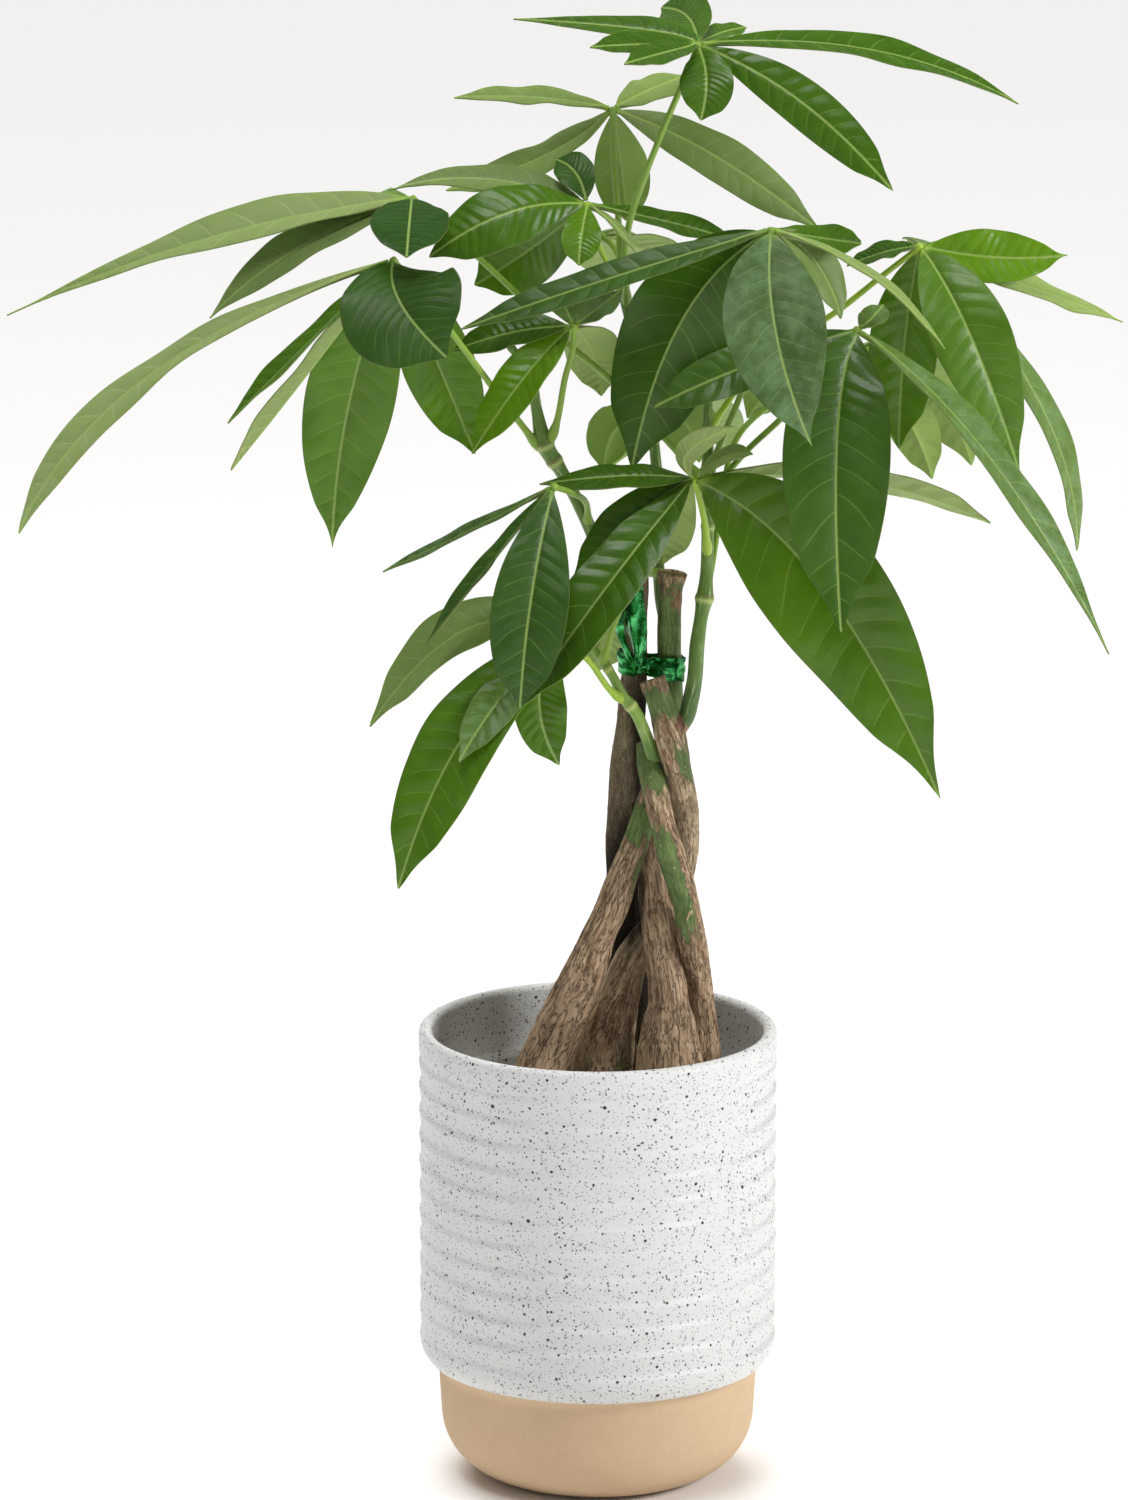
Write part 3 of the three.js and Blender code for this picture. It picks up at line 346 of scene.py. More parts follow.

# Patches on the stems: column, row, half width and half height, all in pixels, how far the patch leans
# sideways for each millimetre up, and its share.
# young is green skin, healed is tan callus and, on the root, painted light, scar is red-brown, and damp is
# painted shade, dark, in a ring or in the braid.
PATCHES = {
    "stem_left_front": [
        ("young", 671, 640, 20, 52, 0, 1), ("callus_and_painted_light", 673, 573, 18, 7, 0, 1),
        ("scar", 678, 601, 6, 6, 0, 1), ("young", 669, 700, 18, 22, -0.05, 0.8),
        ("young", 640, 822, 20, 20, 0.35, 0.95), ("young", 640, 868, 4, 22, 0.3, 0.6),
        ("callus_and_painted_light", 596, 934, 6, 11, 0.5, 0.9), ("callus_and_painted_light", 585, 956, 7, 9, 0.5, 0.9),
        ("painted_shade", 588, 945, 11, 1.1, 0.3, 0.55), ("scar", 583, 968, 9, 3, 0.2, 0.7),
        ("painted_shade", 573, 998, 15, 1.1, 0, 0.5), ("painted_shade", 622, 905, 7, 1, 0.3, 0.45),
        ("painted_shade", 622, 1000, 10, 52, 0.42, 0.75), ("scar", 598, 980, 9, 5, 0.3, 0.5),
    ],
    "stem_middle_front": [
        ("callus_and_painted_light", 660, 922, 12, 24, 0.05, 0.75), ("painted_shade", 665, 961, 20, 1, 0, 0.5),
        ("painted_shade", 668, 1010, 18, 1, 0, 0.5), ("painted_shade", 640, 900, 6, 30, 0.05, 0.7),
        ("scar", 676, 935, 3, 16, -0.2, 0.5),
    ],
    "stem_crossing": [
        ("young", 655, 768, 22, 26, -0.35, 1), ("callus_and_painted_light", 662, 811, 12, 20, -0.25, 0.95),
        ("young", 672, 880, 13, 55, -0.28, 1), ("callus_and_painted_light", 689, 919, 3, 3, 0, 0.9),
        ("callus_and_painted_light", 703, 968, 7, 34, -0.12, 0.65), ("painted_shade", 696, 938, 10, 1, 0, 0.4),
    ],
    "stem_back_to_right": [
        ("callus_and_painted_light", 652, 683, 16, 7, 0.1, 1), ("scar", 656, 688, 10, 3, 0, 0.5),
        ("young", 659, 703, 20, 15, -0.45, 1), ("callus_and_painted_light", 673, 727, 14, 12, -0.2, 0.9),
        ("scar", 685, 722, 9, 8, 0, 1), ("young", 684, 762, 7, 18, -0.15, 0.9),
        ("scar", 667, 758, 6, 16, -0.3, 0.55), ("painted_shade", 685, 850, 12, 1, 0, 0.4),
        # The two broad callus patches on the root are partly callus and partly painted light on a root that
        # lies in shade.
        ("painted_shade", 640, 890, 26, 52, 0.1, 1), ("callus_and_painted_light", 605, 1030, 30, 44, 0.5, 0.9),
        ("callus_and_painted_light", 596, 1027, 12, 20, 0.6, 0.75), ("young", 582, 1062, 13, 16, 0.2, 0.55),
        ("scar", 568, 1046, 6, 20, 0.6, 0.8), ("young", 620, 1045, 10, 26, 0.15, 0.4),
    ],
    "stem_left_back": [
        ("callus_and_painted_light", 642, 572, 10, 4, 0, 0.5), ("scar", 652, 654, 7, 6, 0, 0.8),
        ("callus_and_painted_light", 636, 610, 8, 30, 0, 0.35), ("painted_shade", 648, 760, 16, 90, -0.08, 0.8),
        ("painted_shade", 628, 930, 26, 110, 0, 1),
    ],
}
MARKS = ("young", "callus_and_painted_light", "scar", "painted_shade")


# --- Mesh helpers --------------------------------------------------------------------------------


def on_plane(column, row, spacing):
    """Where a pixel of the photograph falls on the upright plane through the pot's axis: its x and z, each to
    the nearest multiple of the spacing. The ray of a pixel leaves the camera's place along the way ahead,
    plus its shares of the ways right and up."""
    pitch, yaw = math.radians(CAMERA_PITCH), math.radians(CAMERA_YAW)
    ahead = np.array([-math.sin(yaw) * math.cos(pitch), math.cos(yaw) * math.cos(pitch), -math.sin(pitch)])
    right = unit(np.cross(ahead, [0.0, 0.0, 1.0]))
    up = np.cross(right, ahead)
    ray = ahead + (right * (column - PHOTO_MIDDLE[0]) + up * (PHOTO_MIDDLE[1] - row)) / FOCAL_LENGTH
    x, _, z = EYE - ray * EYE[1] / ray[1]
    return round(x / spacing) * spacing, round(z / spacing) * spacing


def in_mm(pixels):
    """A size in the photograph's pixels as millimetres at the plant, to a tenth."""
    return round(pixels / PIXELS_PER_MM, 1)


def placed(point, spacing):
    """The place in space of a (column, row, depth)."""
    return seen((*on_plane(point[0], point[1], spacing), point[2]))


def seen(point):
    """The place of a point given as it shows: the view ray through (x, 0, z) is followed to depth y."""
    x, z, y = point
    return EYE + (np.array([x, 0.0, z]) - EYE) * (1.0 - y / EYE[1])


def shown(points):
    """Where points show, as x and z in the upright plane through the pot's axis: the reverse of seen."""
    flat = EYE + (points - EYE) * (EYE[1] / (EYE[1] - points[..., 1:2]))
    return flat[..., 0], flat[..., 2]


def unit(vectors):
    """The vectors at length 1."""
    return vectors / np.linalg.norm(vectors, axis=-1, keepdims=True)


def smoothstep(low, high, value):
    """0 below low, 1 above high and smooth between them; low may be over high for the reverse."""
    share = np.clip((value - low) / (high - low), 0.0, 1.0)
    return share * share * (3.0 - 2.0 * share)


def waves(seed, count, *axes):
    """Smooth noise: the sum of count sine waves, divided by the square root of count. Each axis is given as
    its values, its highest frequency, and whether its frequencies are whole, so that a turn closes."""
    random = np.random.default_rng(seed)
    total = 0.0
    for _ in range(count):
        phase = random.uniform(0.0, 2.0 * math.pi)
        for values, highest, whole in axes:
            frequency = random.uniform(-highest, highest)
            phase = phase + values * (round(frequency) if whole else frequency)
        total = total + np.sin(phase)
    return total / math.sqrt(count)


def turns(count):
    """Angles evenly round a turn, from 0."""
    return np.linspace(0.0, 2.0 * math.pi, count, endpoint=False)


def smooth_path(points, count):
    """Points on a smooth line through the given ones: a cubic between each two, whose slopes are the
    means of the neighbouring chords. Extra columns, such as a radius, are carried along."""
    points = np.asarray(points, float)
    chord = np.linalg.norm(np.diff(points[:, :3], axis=0), axis=1)
    knots = np.concatenate([[0.0], np.cumsum(chord)])
    slopes = np.gradient(points, knots, axis=0)
    at = np.linspace(0.0, knots[-1], count)
    index = np.clip(np.searchsorted(knots, at, side="right") - 1, 0, len(chord) - 1)
    width = chord[index][:, None]
    share = ((at - knots[index])[:, None]) / width
    start, end = points[index], points[index + 1]
    slope_start, slope_end = slopes[index] * width, slopes[index + 1] * width
    square, cube = share**2, share**3
    line = (2 * cube - 3 * square + 1) * start + (cube - 2 * square + share) * slope_start
    line = line + (3 * square - 2 * cube) * end + (cube - square) * slope_end
    return line, at


def across_frame(line):
    """Two directions square to a line at each of its points, the first one level or nearly so."""
    along = unit(np.gradient(line, axis=0))
    overall = unit(line[-1] - line[0])
    reference = np.array([0.0, 1.0, 0.0]) if abs(overall[1]) < 0.8 else np.array([1.0, 0.0, 0.0])
    side = unit(np.cross(reference, along))
    return along, side, np.cross(along, side)


PLAIN = (0.0, 0.0, 0.0, 0.0)


class Shell:
    """Collects closed grids of points, with their uv and one attribute of four values, for one mesh."""

    def __init__(self):
        self.points, self.kinds, self.quads, self.quad_uvs = [], [], [], []
        self.fans, self.fan_uvs = [], []
        self.count = 0

    def grid(self, points, u, v, kind, u_end=None, ring=False):
        """A tube of rows of points. Each row is a closed loop. The first and last rows are closed by a
        fan, or by each other when ring is true. u and v are given for each point, or u for each column
        and v for each row. kind is four values, for each point or for all."""
        rows, columns = points.shape[:2]
        u = np.broadcast_to(u, (rows, columns))
        v = np.broadcast_to(v[:, None] if np.ndim(v) == 1 else v, (rows, columns))
        u_wide = np.column_stack([u, u[:, 0] if u_end is None else np.full(rows, u_end)])
        v_wide = np.column_stack([v, v[:, 0]])
        uv = np.stack([u_wide, v_wide], -1)
        uv = np.concatenate([uv, 2.0 * uv[-1:] - uv[-2:-1]])
        last = rows if ring else rows - 1
        row, column = np.meshgrid(np.arange(last), np.arange(columns), indexing="ij")
        places = [(row, column), (row, column + 1), (row + 1, column + 1), (row + 1, column)]
        quads = np.stack([self.count + r % rows * columns + c % columns for r, c in places], axis=-1)
        uvs = np.stack([uv[r, c] for r, c in places], axis=2)
        kinds = np.broadcast_to(kind, (rows, columns, 4)).reshape(-1, 4)
        flat = points.reshape(-1, 3)
        self.quads.append(quads.reshape(-1, 4))
        self.quad_uvs.append(uvs.reshape(-1, 4, 2))
        if not ring:
            ends = np.stack([points[0].mean(axis=0), points[-1].mean(axis=0)])
            end_kinds = np.stack([kinds[0], kinds[-1]])
            here, following = np.arange(columns), (np.arange(columns) + 1) % columns
            first = self.count + rows * columns
            start_fan = np.stack([np.full(columns, first), following + self.count, here + self.count], -1)
            top = self.count + (rows - 1) * columns
            end_fan = np.stack([np.full(columns, first + 1), here + top, following + top], -1)
            for fan, middle in ((start_fan, uv[0, :-1]), (end_fan, uv[rows - 1, :-1])):
                self.fans.append(fan)
                self.fan_uvs.append(np.broadcast_to(middle.mean(axis=0), (columns, 3, 2)))
            flat = np.concatenate([flat, ends])
            kinds = np.concatenate([kinds, end_kinds])
        self.points.append(flat)
        self.kinds.append(kinds)
        self.count += len(flat)

    def build(self, name, material, smooth=True):
        """Makes the mesh, in metres, and links its object to the scene."""
        points = np.concatenate(self.points) * MM
        quads = np.concatenate(self.quads)
        fans = np.concatenate(self.fans) if self.fans else np.zeros((0, 3), int)
        mesh = bpy.data.meshes.new(name)
        mesh.from_pydata(points.tolist(), [], quads.tolist() + fans.tolist())
        corner_uvs = [np.concatenate(self.quad_uvs).reshape(-1, 2)]
        if self.fan_uvs:
            corner_uvs.append(np.concatenate(self.fan_uvs).reshape(-1, 2))
        mesh.uv_layers.new(name="surface").uv.foreach_set("vector", np.concatenate(corner_uvs).ravel())
        kind = mesh.attributes.new("kind", "FLOAT_COLOR", "POINT")
        kind.data.foreach_set("color", np.concatenate(self.kinds).astype(float).ravel())
        mesh.polygons.foreach_set("use_smooth", np.full(len(mesh.polygons), smooth))
        mesh.materials.append(material)
        mesh.update()
        piece = bpy.data.objects.new(name, mesh)
        bpy.context.scene.collection.objects.link(piece)
        return piece


def place(piece, slot, *nodes):
    """Says what a piece rides on and which nodes of the part it replaces. slot is not used."""
    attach(piece, "root")
    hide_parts(*nodes)


# --- Material helpers ----------------------------------------------------------------------------


def linear(hex_colour):
    """An sRGB hex colour as linear values with alpha 1."""
    parts = [int(hex_colour[i : i + 2], 16) / 255.0 for i in (1, 3, 5)]
    return [p / 12.92 if p <= 0.04045 else ((p + 0.055) / 1.055) ** 2.4 for p in parts] + [1.0]


def add(material, kind, links=(), **settings):
    """Adds a node. A setting named in_X is the value of input X; links are (input, output socket) pairs."""
    node = material.node_tree.nodes.new(kind)
    for key, value in settings.items():
        if key.startswith("in_"):
            node.inputs[key[3:].replace("_", " ")].default_value = value
        else:
            setattr(node, key, value)
    for name, socket in links:
        material.node_tree.links.new(socket, node.inputs[name])
    return node


def new_material(name, **values):
    """A material with one Principled shader, and the shader itself. values are its constant inputs."""
    material = bpy.data.materials.new(name)
    material.use_nodes = True
    shader = material.node_tree.nodes["Principled BSDF"]
    for key, value in values.items():
        shader.inputs[key.replace("_", " ")].default_value = value
    return material, shader


def maths(material, operation, *values):
    """The result of a Math node whose inputs are sockets or numbers."""
    node = add(material, "ShaderNodeMath", operation=operation)
    for index, value in enumerate(values):
        if isinstance(value, (int, float)):
            node.inputs[index].default_value = value
        else:
            material.node_tree.links.new(value, node.inputs[index])
    return node.outputs[0]


def blend_colours(material, share, first, second):
    """A colour between two, each a hex text or a socket, by a socket from 0 to 1."""
    node = add(material, "ShaderNodeMix", data_type="RGBA", links=[(0, share)])
    for index, colour in ((6, first), (7, second)):
        if isinstance(colour, str):
            node.inputs[index].default_value = linear(colour)
        else:
            material.node_tree.links.new(colour, node.inputs[index])
    return node.outputs[2]


def cover(material, colour, paint, share, most):
    """A colour with paint over it, as thick as a socket from 0 to 1 says, times most."""
    return blend_colours(material, maths(material, "MULTIPLY", share, most), colour, paint)


def step(material, value, low, high):
    """0 below low, 1 above high and smooth between them; low may be over high for the reverse."""
    node = add(material, "ShaderNodeMapRange", interpolation_type="SMOOTHSTEP", links=[(0, value)])
    node.inputs[1].default_value = min(low, high)
    node.inputs[2].default_value = max(low, high)
    node.inputs[3].default_value = 0.0 if low < high else 1.0
    node.inputs[4].default_value = 1.0 if low < high else 0.0
    return node.outputs[0]


def noise(material, coordinates, size_mm, detail=3.0, roughness=0.55, stretch=(1.0, 1.0, 1.0)):
    """Noise whose features are about size_mm across, on coordinates in metres, stretched by axis."""
    scale = [1.0 / (size_mm * MM * s) for s in stretch]
    mapping = add(material, "ShaderNodeMapping", in_Scale=scale, links=[("Vector", coordinates)])
    texture = add(
        material,
        "ShaderNodeTexNoise",
        in_Scale=1.0,
        in_Detail=detail,
        in_Roughness=roughness,
        links=[("Vector", mapping.outputs[0])],
    )
    return texture.outputs["Fac"]


def object_place(material):
    """A place on the object, in metres."""
    return add(material, "ShaderNodeTexCoord").outputs["Object"]


def bump(material, shader, height, depth_mm):
    """Bends the normals as if the surface rose by a socket, height, times depth_mm."""
    node = add(material, "ShaderNodeBump", in_Distance=depth_mm * MM, links=[("Height", height)])
    material.node_tree.links.new(node.outputs[0], shader.inputs["Normal"])


def drive(material, shader, **sockets):
    """Links sockets to the shader's inputs of the same names."""
    for key, socket in sockets.items():
        material.node_tree.links.new(socket, shader.inputs[key.replace("_", " ")])


# --- Materials -----------------------------------------------------------------------------------


def specks(material, coordinates, spacing_mm, radius_mm, share):
    """Round specks: in each cell of about spacing_mm, a share of cells has one, of its own size."""
    mapping = add(
        material,
        "ShaderNodeMapping",
        in_Scale=[1.0 / (spacing_mm * MM)] * 3,
        links=[("Vector", coordinates)],
    )
    cells = add(material, "ShaderNodeTexVoronoi", in_Scale=1.0, links=[("Vector", mapping.outputs[0])])
    chance = add(material, "ShaderNodeSeparateColor", links=[("Color", cells.outputs["Color"])])
    present = maths(material, "LESS_THAN", chance.outputs[0], share)
    size = maths(material, "MULTIPLY_ADD", chance.outputs[1], 0.7, 0.45)
    reach = maths(material, "MULTIPLY", size, radius_mm / spacing_mm)
    inside = maths(material, "SUBTRACT", reach, cells.outputs["Distance"])
    edge = step(material, inside, 0.0, 0.25 * radius_mm / spacing_mm)
    return maths(material, "MULTIPLY", edge, present)


def speckled_stoneware():
    """Stoneware under a white satin glaze, through which iron in the clay shows as specks, on a bare,
    evenly tan, matt base."""
    material, shader = new_material("speckled_stoneware", IOR=1.5)
    coordinates = object_place(material)
    height = add(material, "ShaderNodeSeparateXYZ", links=[("Vector", coordinates)]).outputs[2]
    glazed = step(material, height, (BASE_HEIGHT - 0.15) * MM, (BASE_HEIGHT + 0.15) * MM)
    cloud = noise(material, coordinates, 26.0, 3.0)
    white = blend_colours(material, cloud, "#cdcdcc", "#d8d8d6")
    fine = specks(material, coordinates, 1.1, 0.34, 0.95)
    small = specks(material, coordinates, 1.7, 0.44, 0.8)
    dark = specks(material, coordinates, 3.1, 0.6, 0.7)
    large = specks(material, coordinates, 6.5, 0.85, 0.5)
    colour = cover(material, white, "#64625e", fine, 0.7)
    colour = cover(material, colour, "#33302e", small, 0.9)
    colour = blend_colours(material, maths(material, "MAXIMUM", dark, large), colour, "#1b1918")
    clay_grain = noise(material, coordinates, 5.0, 5.0, 0.65)
    clay = blend_colours(material, clay_grain, "#c5a886", "#d3b896")
    sand = specks(material, coordinates, 2.2, 0.3, 0.3)
    clay = cover(material, clay, "#9c7f62", sand, 0.3)
    drive(
        material,
        shader,
        Base_Color=blend_colours(material, glazed, clay, colour),
        Roughness=maths(material, "MULTIPLY_ADD", glazed, -0.38, 0.85),
    )
    orange_peel = noise(material, coordinates, 3.5, 2.0)
    bump(material, shader, orange_peel, 0.06)
    return material


def nursery_plastic():
    """Thin blow-moulded polypropylene, dark green and dull."""
    material, shader = new_material("nursery_plastic", IOR=1.49)
    coordinates = object_place(material)
    scuffs = noise(material, coordinates, 8.0, 5.0)
    drive(
        material,
        shader,
        Base_Color=blend_colours(material, scuffs, "#1d3024", "#2c4534"),
        Roughness=maths(material, "MULTIPLY_ADD", scuffs, 0.25, 0.35),
    )
    bump(material, shader, scuffs, 0.1)
    return material


def potting_soil():
    """Moist peat and bark: dark brown crumbs with lighter fibres and chips."""
    material, shader = new_material("potting_soil", Roughness=0.95)
    coordinates = object_place(material)
    crumbs = noise(material, coordinates, 2.2, 6.0, 0.7)
    clods = noise(material, coordinates, 9.0, 3.0)
    colour = blend_colours(material, step(material, crumbs, 0.3, 0.75), "#1f1610", "#4b3627")
    colour = blend_colours(material, step(material, clods, 0.55, 0.75), colour, "#6a5039")
    drive(material, shader, Base_Color=colour)
    bump(material, shader, crumbs, 1.2)
    return material


def bark(name, dark, light, thread, crack):
    """Bark of a young pachira: grey-brown, in plates lengthwise, between fine cracks that part and meet
    again as the stem thickens. kind holds the shares of green young skin, of tan callus over a wound,
    which on a root in shade also stands for painted light, of red-brown scar and of painted shade, dark in
    creases and in the braid's gaps. The uv is metres round the stem and along it. The colours are those of
    the plates, dark and light, of the fine threads on them and of the cracks."""
    material, shader = new_material(name, IOR=1.45, Specular_IOR_Level=0.2)
    surface = add(material, "ShaderNodeUVMap", uv_map="surface").outputs[0]
    kind = add(material, "ShaderNodeAttribute", attribute_name="kind")
    shares = add(material, "ShaderNodeSeparateColor", links=[("Color", kind.outputs["Color"])])
    threads = noise(material, surface, 0.5, 3.0, 0.6, stretch=(1.0, 12.0, 1.0))
    network = noise(material, surface, 1.8, 3.0, 0.6, stretch=(1.0, 6.5, 1.0))
    wide_network = noise(material, surface, 3.0, 3.0, 0.6, stretch=(1.0, 7.0, 1.0))
    plates = noise(material, surface, 3.4, 4.0, 0.6, stretch=(1.0, 4.0, 1.0))
    blotches = noise(material, surface, 12.0, 4.0, 0.6)
    ragged = noise(material, surface, 2.4, 5.0, 0.7, stretch=(1.0, 3.0, 1.0))
    # A crack runs where a noise passes through its middle value: a thin line that wanders and forks.
    off_line = maths(material, "ABSOLUTE", maths(material, "SUBTRACT", network, 0.5))
    off_wide = maths(material, "ABSOLUTE", maths(material, "SUBTRACT", wide_network, 0.5))
    cracks = maths(
        material,
        "MAXIMUM",
        step(material, off_line, 0.024, 0.004),
        step(material, off_wide, 0.018, 0.003),
    )
    brown = blend_colours(material, step(material, plates, 0.28, 0.72), dark, light)
    brown = blend_colours(material, step(material, blotches, 0.52, 0.7), brown, "#8a7a5e")
    raised = maths(material, "MULTIPLY", step(material, threads, 0.5, 0.66), 0.45)
    brown = blend_colours(material, raised, brown, thread)
    sunken = maths(material, "MULTIPLY", step(material, threads, 0.46, 0.34), 0.5)
    brown = blend_colours(material, sunken, brown, dark)
    brown = cover(material, brown, crack, cracks, 0.6)
    shift = maths(material, "MULTIPLY_ADD", ragged, 2.4, -1.2)
    green = blend_colours(material, step(material, blotches, 0.3, 0.7), "#45622f", "#6f8a4e")
    streaks = maths(material, "MULTIPLY", step(material, threads, 0.5, 0.75), 0.4)
    green = blend_colours(material, streaks, green, "#96a377")
    dots = specks(material, surface, 2.6, 0.42, 0.55)
    green = cover(material, green, "#c9b08a", dots, 0.85)
    cork = blend_colours(material, step(material, plates, 0.35, 0.65), "#9c7e62", "#d3ba98")
    cork = cover(material, cork, "#5c4534", cracks, 0.6)
    wound = blend_colours(material, step(material, plates, 0.35, 0.65), "#633c2e", "#a0765f")
    young = step(material, maths(material, "ADD", shares.outputs[0], shift), 0.3, 0.66)
    callus_and_painted_light = step(material, maths(material, "ADD", shares.outputs[1], shift), 0.35, 0.75)
    scar = step(material, maths(material, "ADD", shares.outputs[2], shift), 0.35, 0.75)
    # Painted shade: the bark turns near black in creases and in the braid's gaps.
    painted_shade = step(material, kind.outputs["Alpha"], 0.1, 0.95)
    colour = cover(material, brown, green, young, 0.93)
    colour = cover(material, colour, cork, callus_and_painted_light, 0.9)
    colour = cover(material, colour, wound, scar, 0.85)
    colour = cover(material, colour, "#1b1410", painted_shade, 0.9)
    drive(
        material,
        shader,
        Base_Color=colour,
        Roughness=maths(material, "MULTIPLY_ADD", young, -0.35, 0.85),
    )
    relief = maths(material, "MULTIPLY_ADD", threads, 0.5, plates)
    relief = maths(material, "MULTIPLY_ADD", cracks, -0.9, relief)
    unevenness = maths(material, "MULTIPLY_ADD", young, -0.8, 1.0)
    bump(material, shader, maths(material, "MULTIPLY", relief, unevenness), 0.9)
    return material


def green_shoot():
    """Skin of this year's shoots: smooth, waxy green, streaked lengthwise, tan at scars and pale yellow
    at a node. kind holds its age, the share of scar and the share of node. The uv is metres."""
    material, shader = new_material("green_shoot_skin", IOR=1.45, Roughness=0.4, Specular_IOR_Level=0.35)
    surface = add(material, "ShaderNodeUVMap", uv_map="surface").outputs[0]
    kind = add(material, "ShaderNodeAttribute", attribute_name="kind").outputs["Color"]
    shares = add(material, "ShaderNodeSeparateColor", links=[("Color", kind)])
    streaks = noise(material, surface, 0.9, 4.0, 0.6, stretch=(1.0, 12.0, 1.0))
    clouds = noise(material, surface, 7.0, 3.0)
    old = blend_colours(material, clouds, "#3c5a29", "#5c7841")
    young = blend_colours(material, clouds, "#6b9032", "#8fae50")
    colour = blend_colours(material, shares.outputs[0], young, old)
    colour = blend_colours(material, step(material, streaks, 0.52, 0.75), colour, "#a3b783")
    dots = specks(material, surface, 3.0, 0.3, 0.35)
    colour = cover(material, colour, "#b5ab84", dots, 0.6)
    colour = blend_colours(material, shares.outputs[2], colour, "#b9c779")
    scar = step(material, maths(material, "MULTIPLY_ADD", streaks, 0.5, shares.outputs[1]), 0.55, 0.85)
    drive(material, shader, Base_Color=blend_colours(material, scar, colour, "#8f7050"))
    bump(material, shader, streaks, 0.15)
    return material


def leaf_skin():
    """A pachira leaflet: waxy above with sunken paler veins and patches of painted grey sheen, pale and
    matt below with raised veins, and thin enough for light to come through. kind holds the share of
    underside colour, which on an upper face is painted sheen, the tone, which also paints light and shade,
    the share of stalk, and how near the edge a place is. The uv is millimetres across from the midrib,
    and side veins counted along the leaflet."""
    material, shader = new_material(
        "waxy_leaf_skin", IOR=1.45, Specular_IOR_Level=0.34, Subsurface_Weight=0.5, Subsurface_Scale=0.001
    )
    shader.inputs["Subsurface Radius"].default_value = (0.5, 1.0, 0.05)
    surface = add(material, "ShaderNodeUVMap", uv_map="surface").outputs[0]
    kind = add(material, "ShaderNodeAttribute", attribute_name="kind")
    shares = add(material, "ShaderNodeSeparateColor", links=[("Color", kind.outputs["Color"])])
    under, tone, stalk = shares.outputs[0], shares.outputs[1], shares.outputs[2]
    off_rib = kind.outputs["Alpha"]
    across_along = add(material, "ShaderNodeSeparateXYZ", links=[("Vector", surface)])
    across, veins = across_along.outputs[0], across_along.outputs[1]
    right = maths(material, "GREATER_THAN", across, 0.0)
    phase = maths(material, "FRACT", maths(material, "MULTIPLY_ADD", right, VEIN_OFFSET, veins))
    saw = maths(material, "ABSOLUTE", maths(material, "SUBTRACT", phase, 0.5))
    # saw is 0.5 on a side vein and 0 half way to the next one.
    fade = step(material, off_rib, 1.0, 0.6)
    side_vein = maths(material, "MULTIPLY", step(material, saw, 0.455, 0.49), fade)
    beside = maths(material, "ABSOLUTE", across)
    rib = maths(material, "MULTIPLY", step(material, beside, 0.6, 0.25), step(material, off_rib, 0.9, 0.5))
    coordinates = object_place(material)
    mottle = noise(material, coordinates, 9.0, 4.0)
    cells = noise(material, coordinates, 1.4, 3.0)
    marks = noise(material, coordinates, 11.0, 8.0, 0.75)
    dark = blend_colours(material, mottle, "#163506", "#294e12")
    bright = blend_colours(material, mottle, "#4c7403", "#68900e")
    # The tone runs from dark old green to bright young green, and also paints light and shade: bright where
    # light shines through a leaflet, dark where it lies in shade.
    upper = blend_colours(material, tone, dark, bright)
    upper = cover(material, upper, "#8fab58", side_vein, 0.22)
    # Painted sheen: on upper faces that take a little of the underside's colour, grey-green patches stand for
    # glossy reflection.
    painted_sheen_faces = maths(material, "MULTIPLY", step(material, under, 0.0, 0.12), step(material, under, 0.45, 0.2))
    painted_sheen = maths(material, "MULTIPLY", step(material, marks, 0.38, 0.7), painted_sheen_faces)
    painted_sheen = maths(material, "MULTIPLY", painted_sheen, 0.3)
    upper = blend_colours(material, painted_sheen, upper, "#8fb087")
    # On the lower face, the bright end of the tone is painted light shining through the leaflet.
    lower = blend_colours(material, tone, "#64754a", "#a3ba5c")
    lower = cover(material, lower, "#a4ad86", mottle, 0.4)
    lower = cover(material, lower, "#a9b383", side_vein, 0.4)
    colour = blend_colours(material, under, upper, lower)
    colour = cover(material, colour, "#9db663", rib, 0.6)
    rim = step(material, off_rib, 0.965, 1.0)
    colour = cover(material, colour, "#5a5a2c", rim, 0.45)
    stem_colour = blend_colours(material, tone, "#66873f", "#9cb944")
    colour = blend_colours(material, stalk, colour, stem_colour)
    rough = maths(material, "MULTIPLY_ADD", under, 0.28, 0.31)
    rough = maths(material, "MULTIPLY_ADD", step(material, tone, 0.27, 0.1), 0.13, rough)
    rough = maths(material, "MULTIPLY_ADD", painted_sheen, 0.5, rough)
    drive(material, shader, Base_Color=colour, Roughness=rough)
    relief = maths(material, "MULTIPLY", saw, maths(material, "MULTIPLY_ADD", under, 1.1, -0.42))
    relief = maths(material, "MULTIPLY", relief, fade)
    relief = maths(material, "MULTIPLY_ADD", cells, 0.12, relief)
    bump(material, shader, relief, 0.8)
    return material


def metallic_film():
    """Green metallised polyester ribbon, crumpled into sharp facets and mirror-like."""
    material, shader = new_material("metallised_film", Metallic=0.8, Roughness=0.16)
    coordinates = object_place(material)
    creases = noise(material, coordinates, 6.0, 2.0, 0.5)
    colour = blend_colours(material, step(material, creases, 0.42, 0.72), "#085a1c", "#4cb068")
    drive(material, shader, Base_Color=colour)
    bump(material, shader, creases, 0.8)
    return material


# --- Pieces --------------------------------------------------------------------------------------


def arc(x, y, radius, start, end, count):
    """Points on an arc about (x, y), from the start angle to the end angle in degrees."""
    angle = np.radians(np.linspace(start, end, count))
    return np.stack([x + radius * np.cos(angle), y + radius * np.sin(angle)], -1)


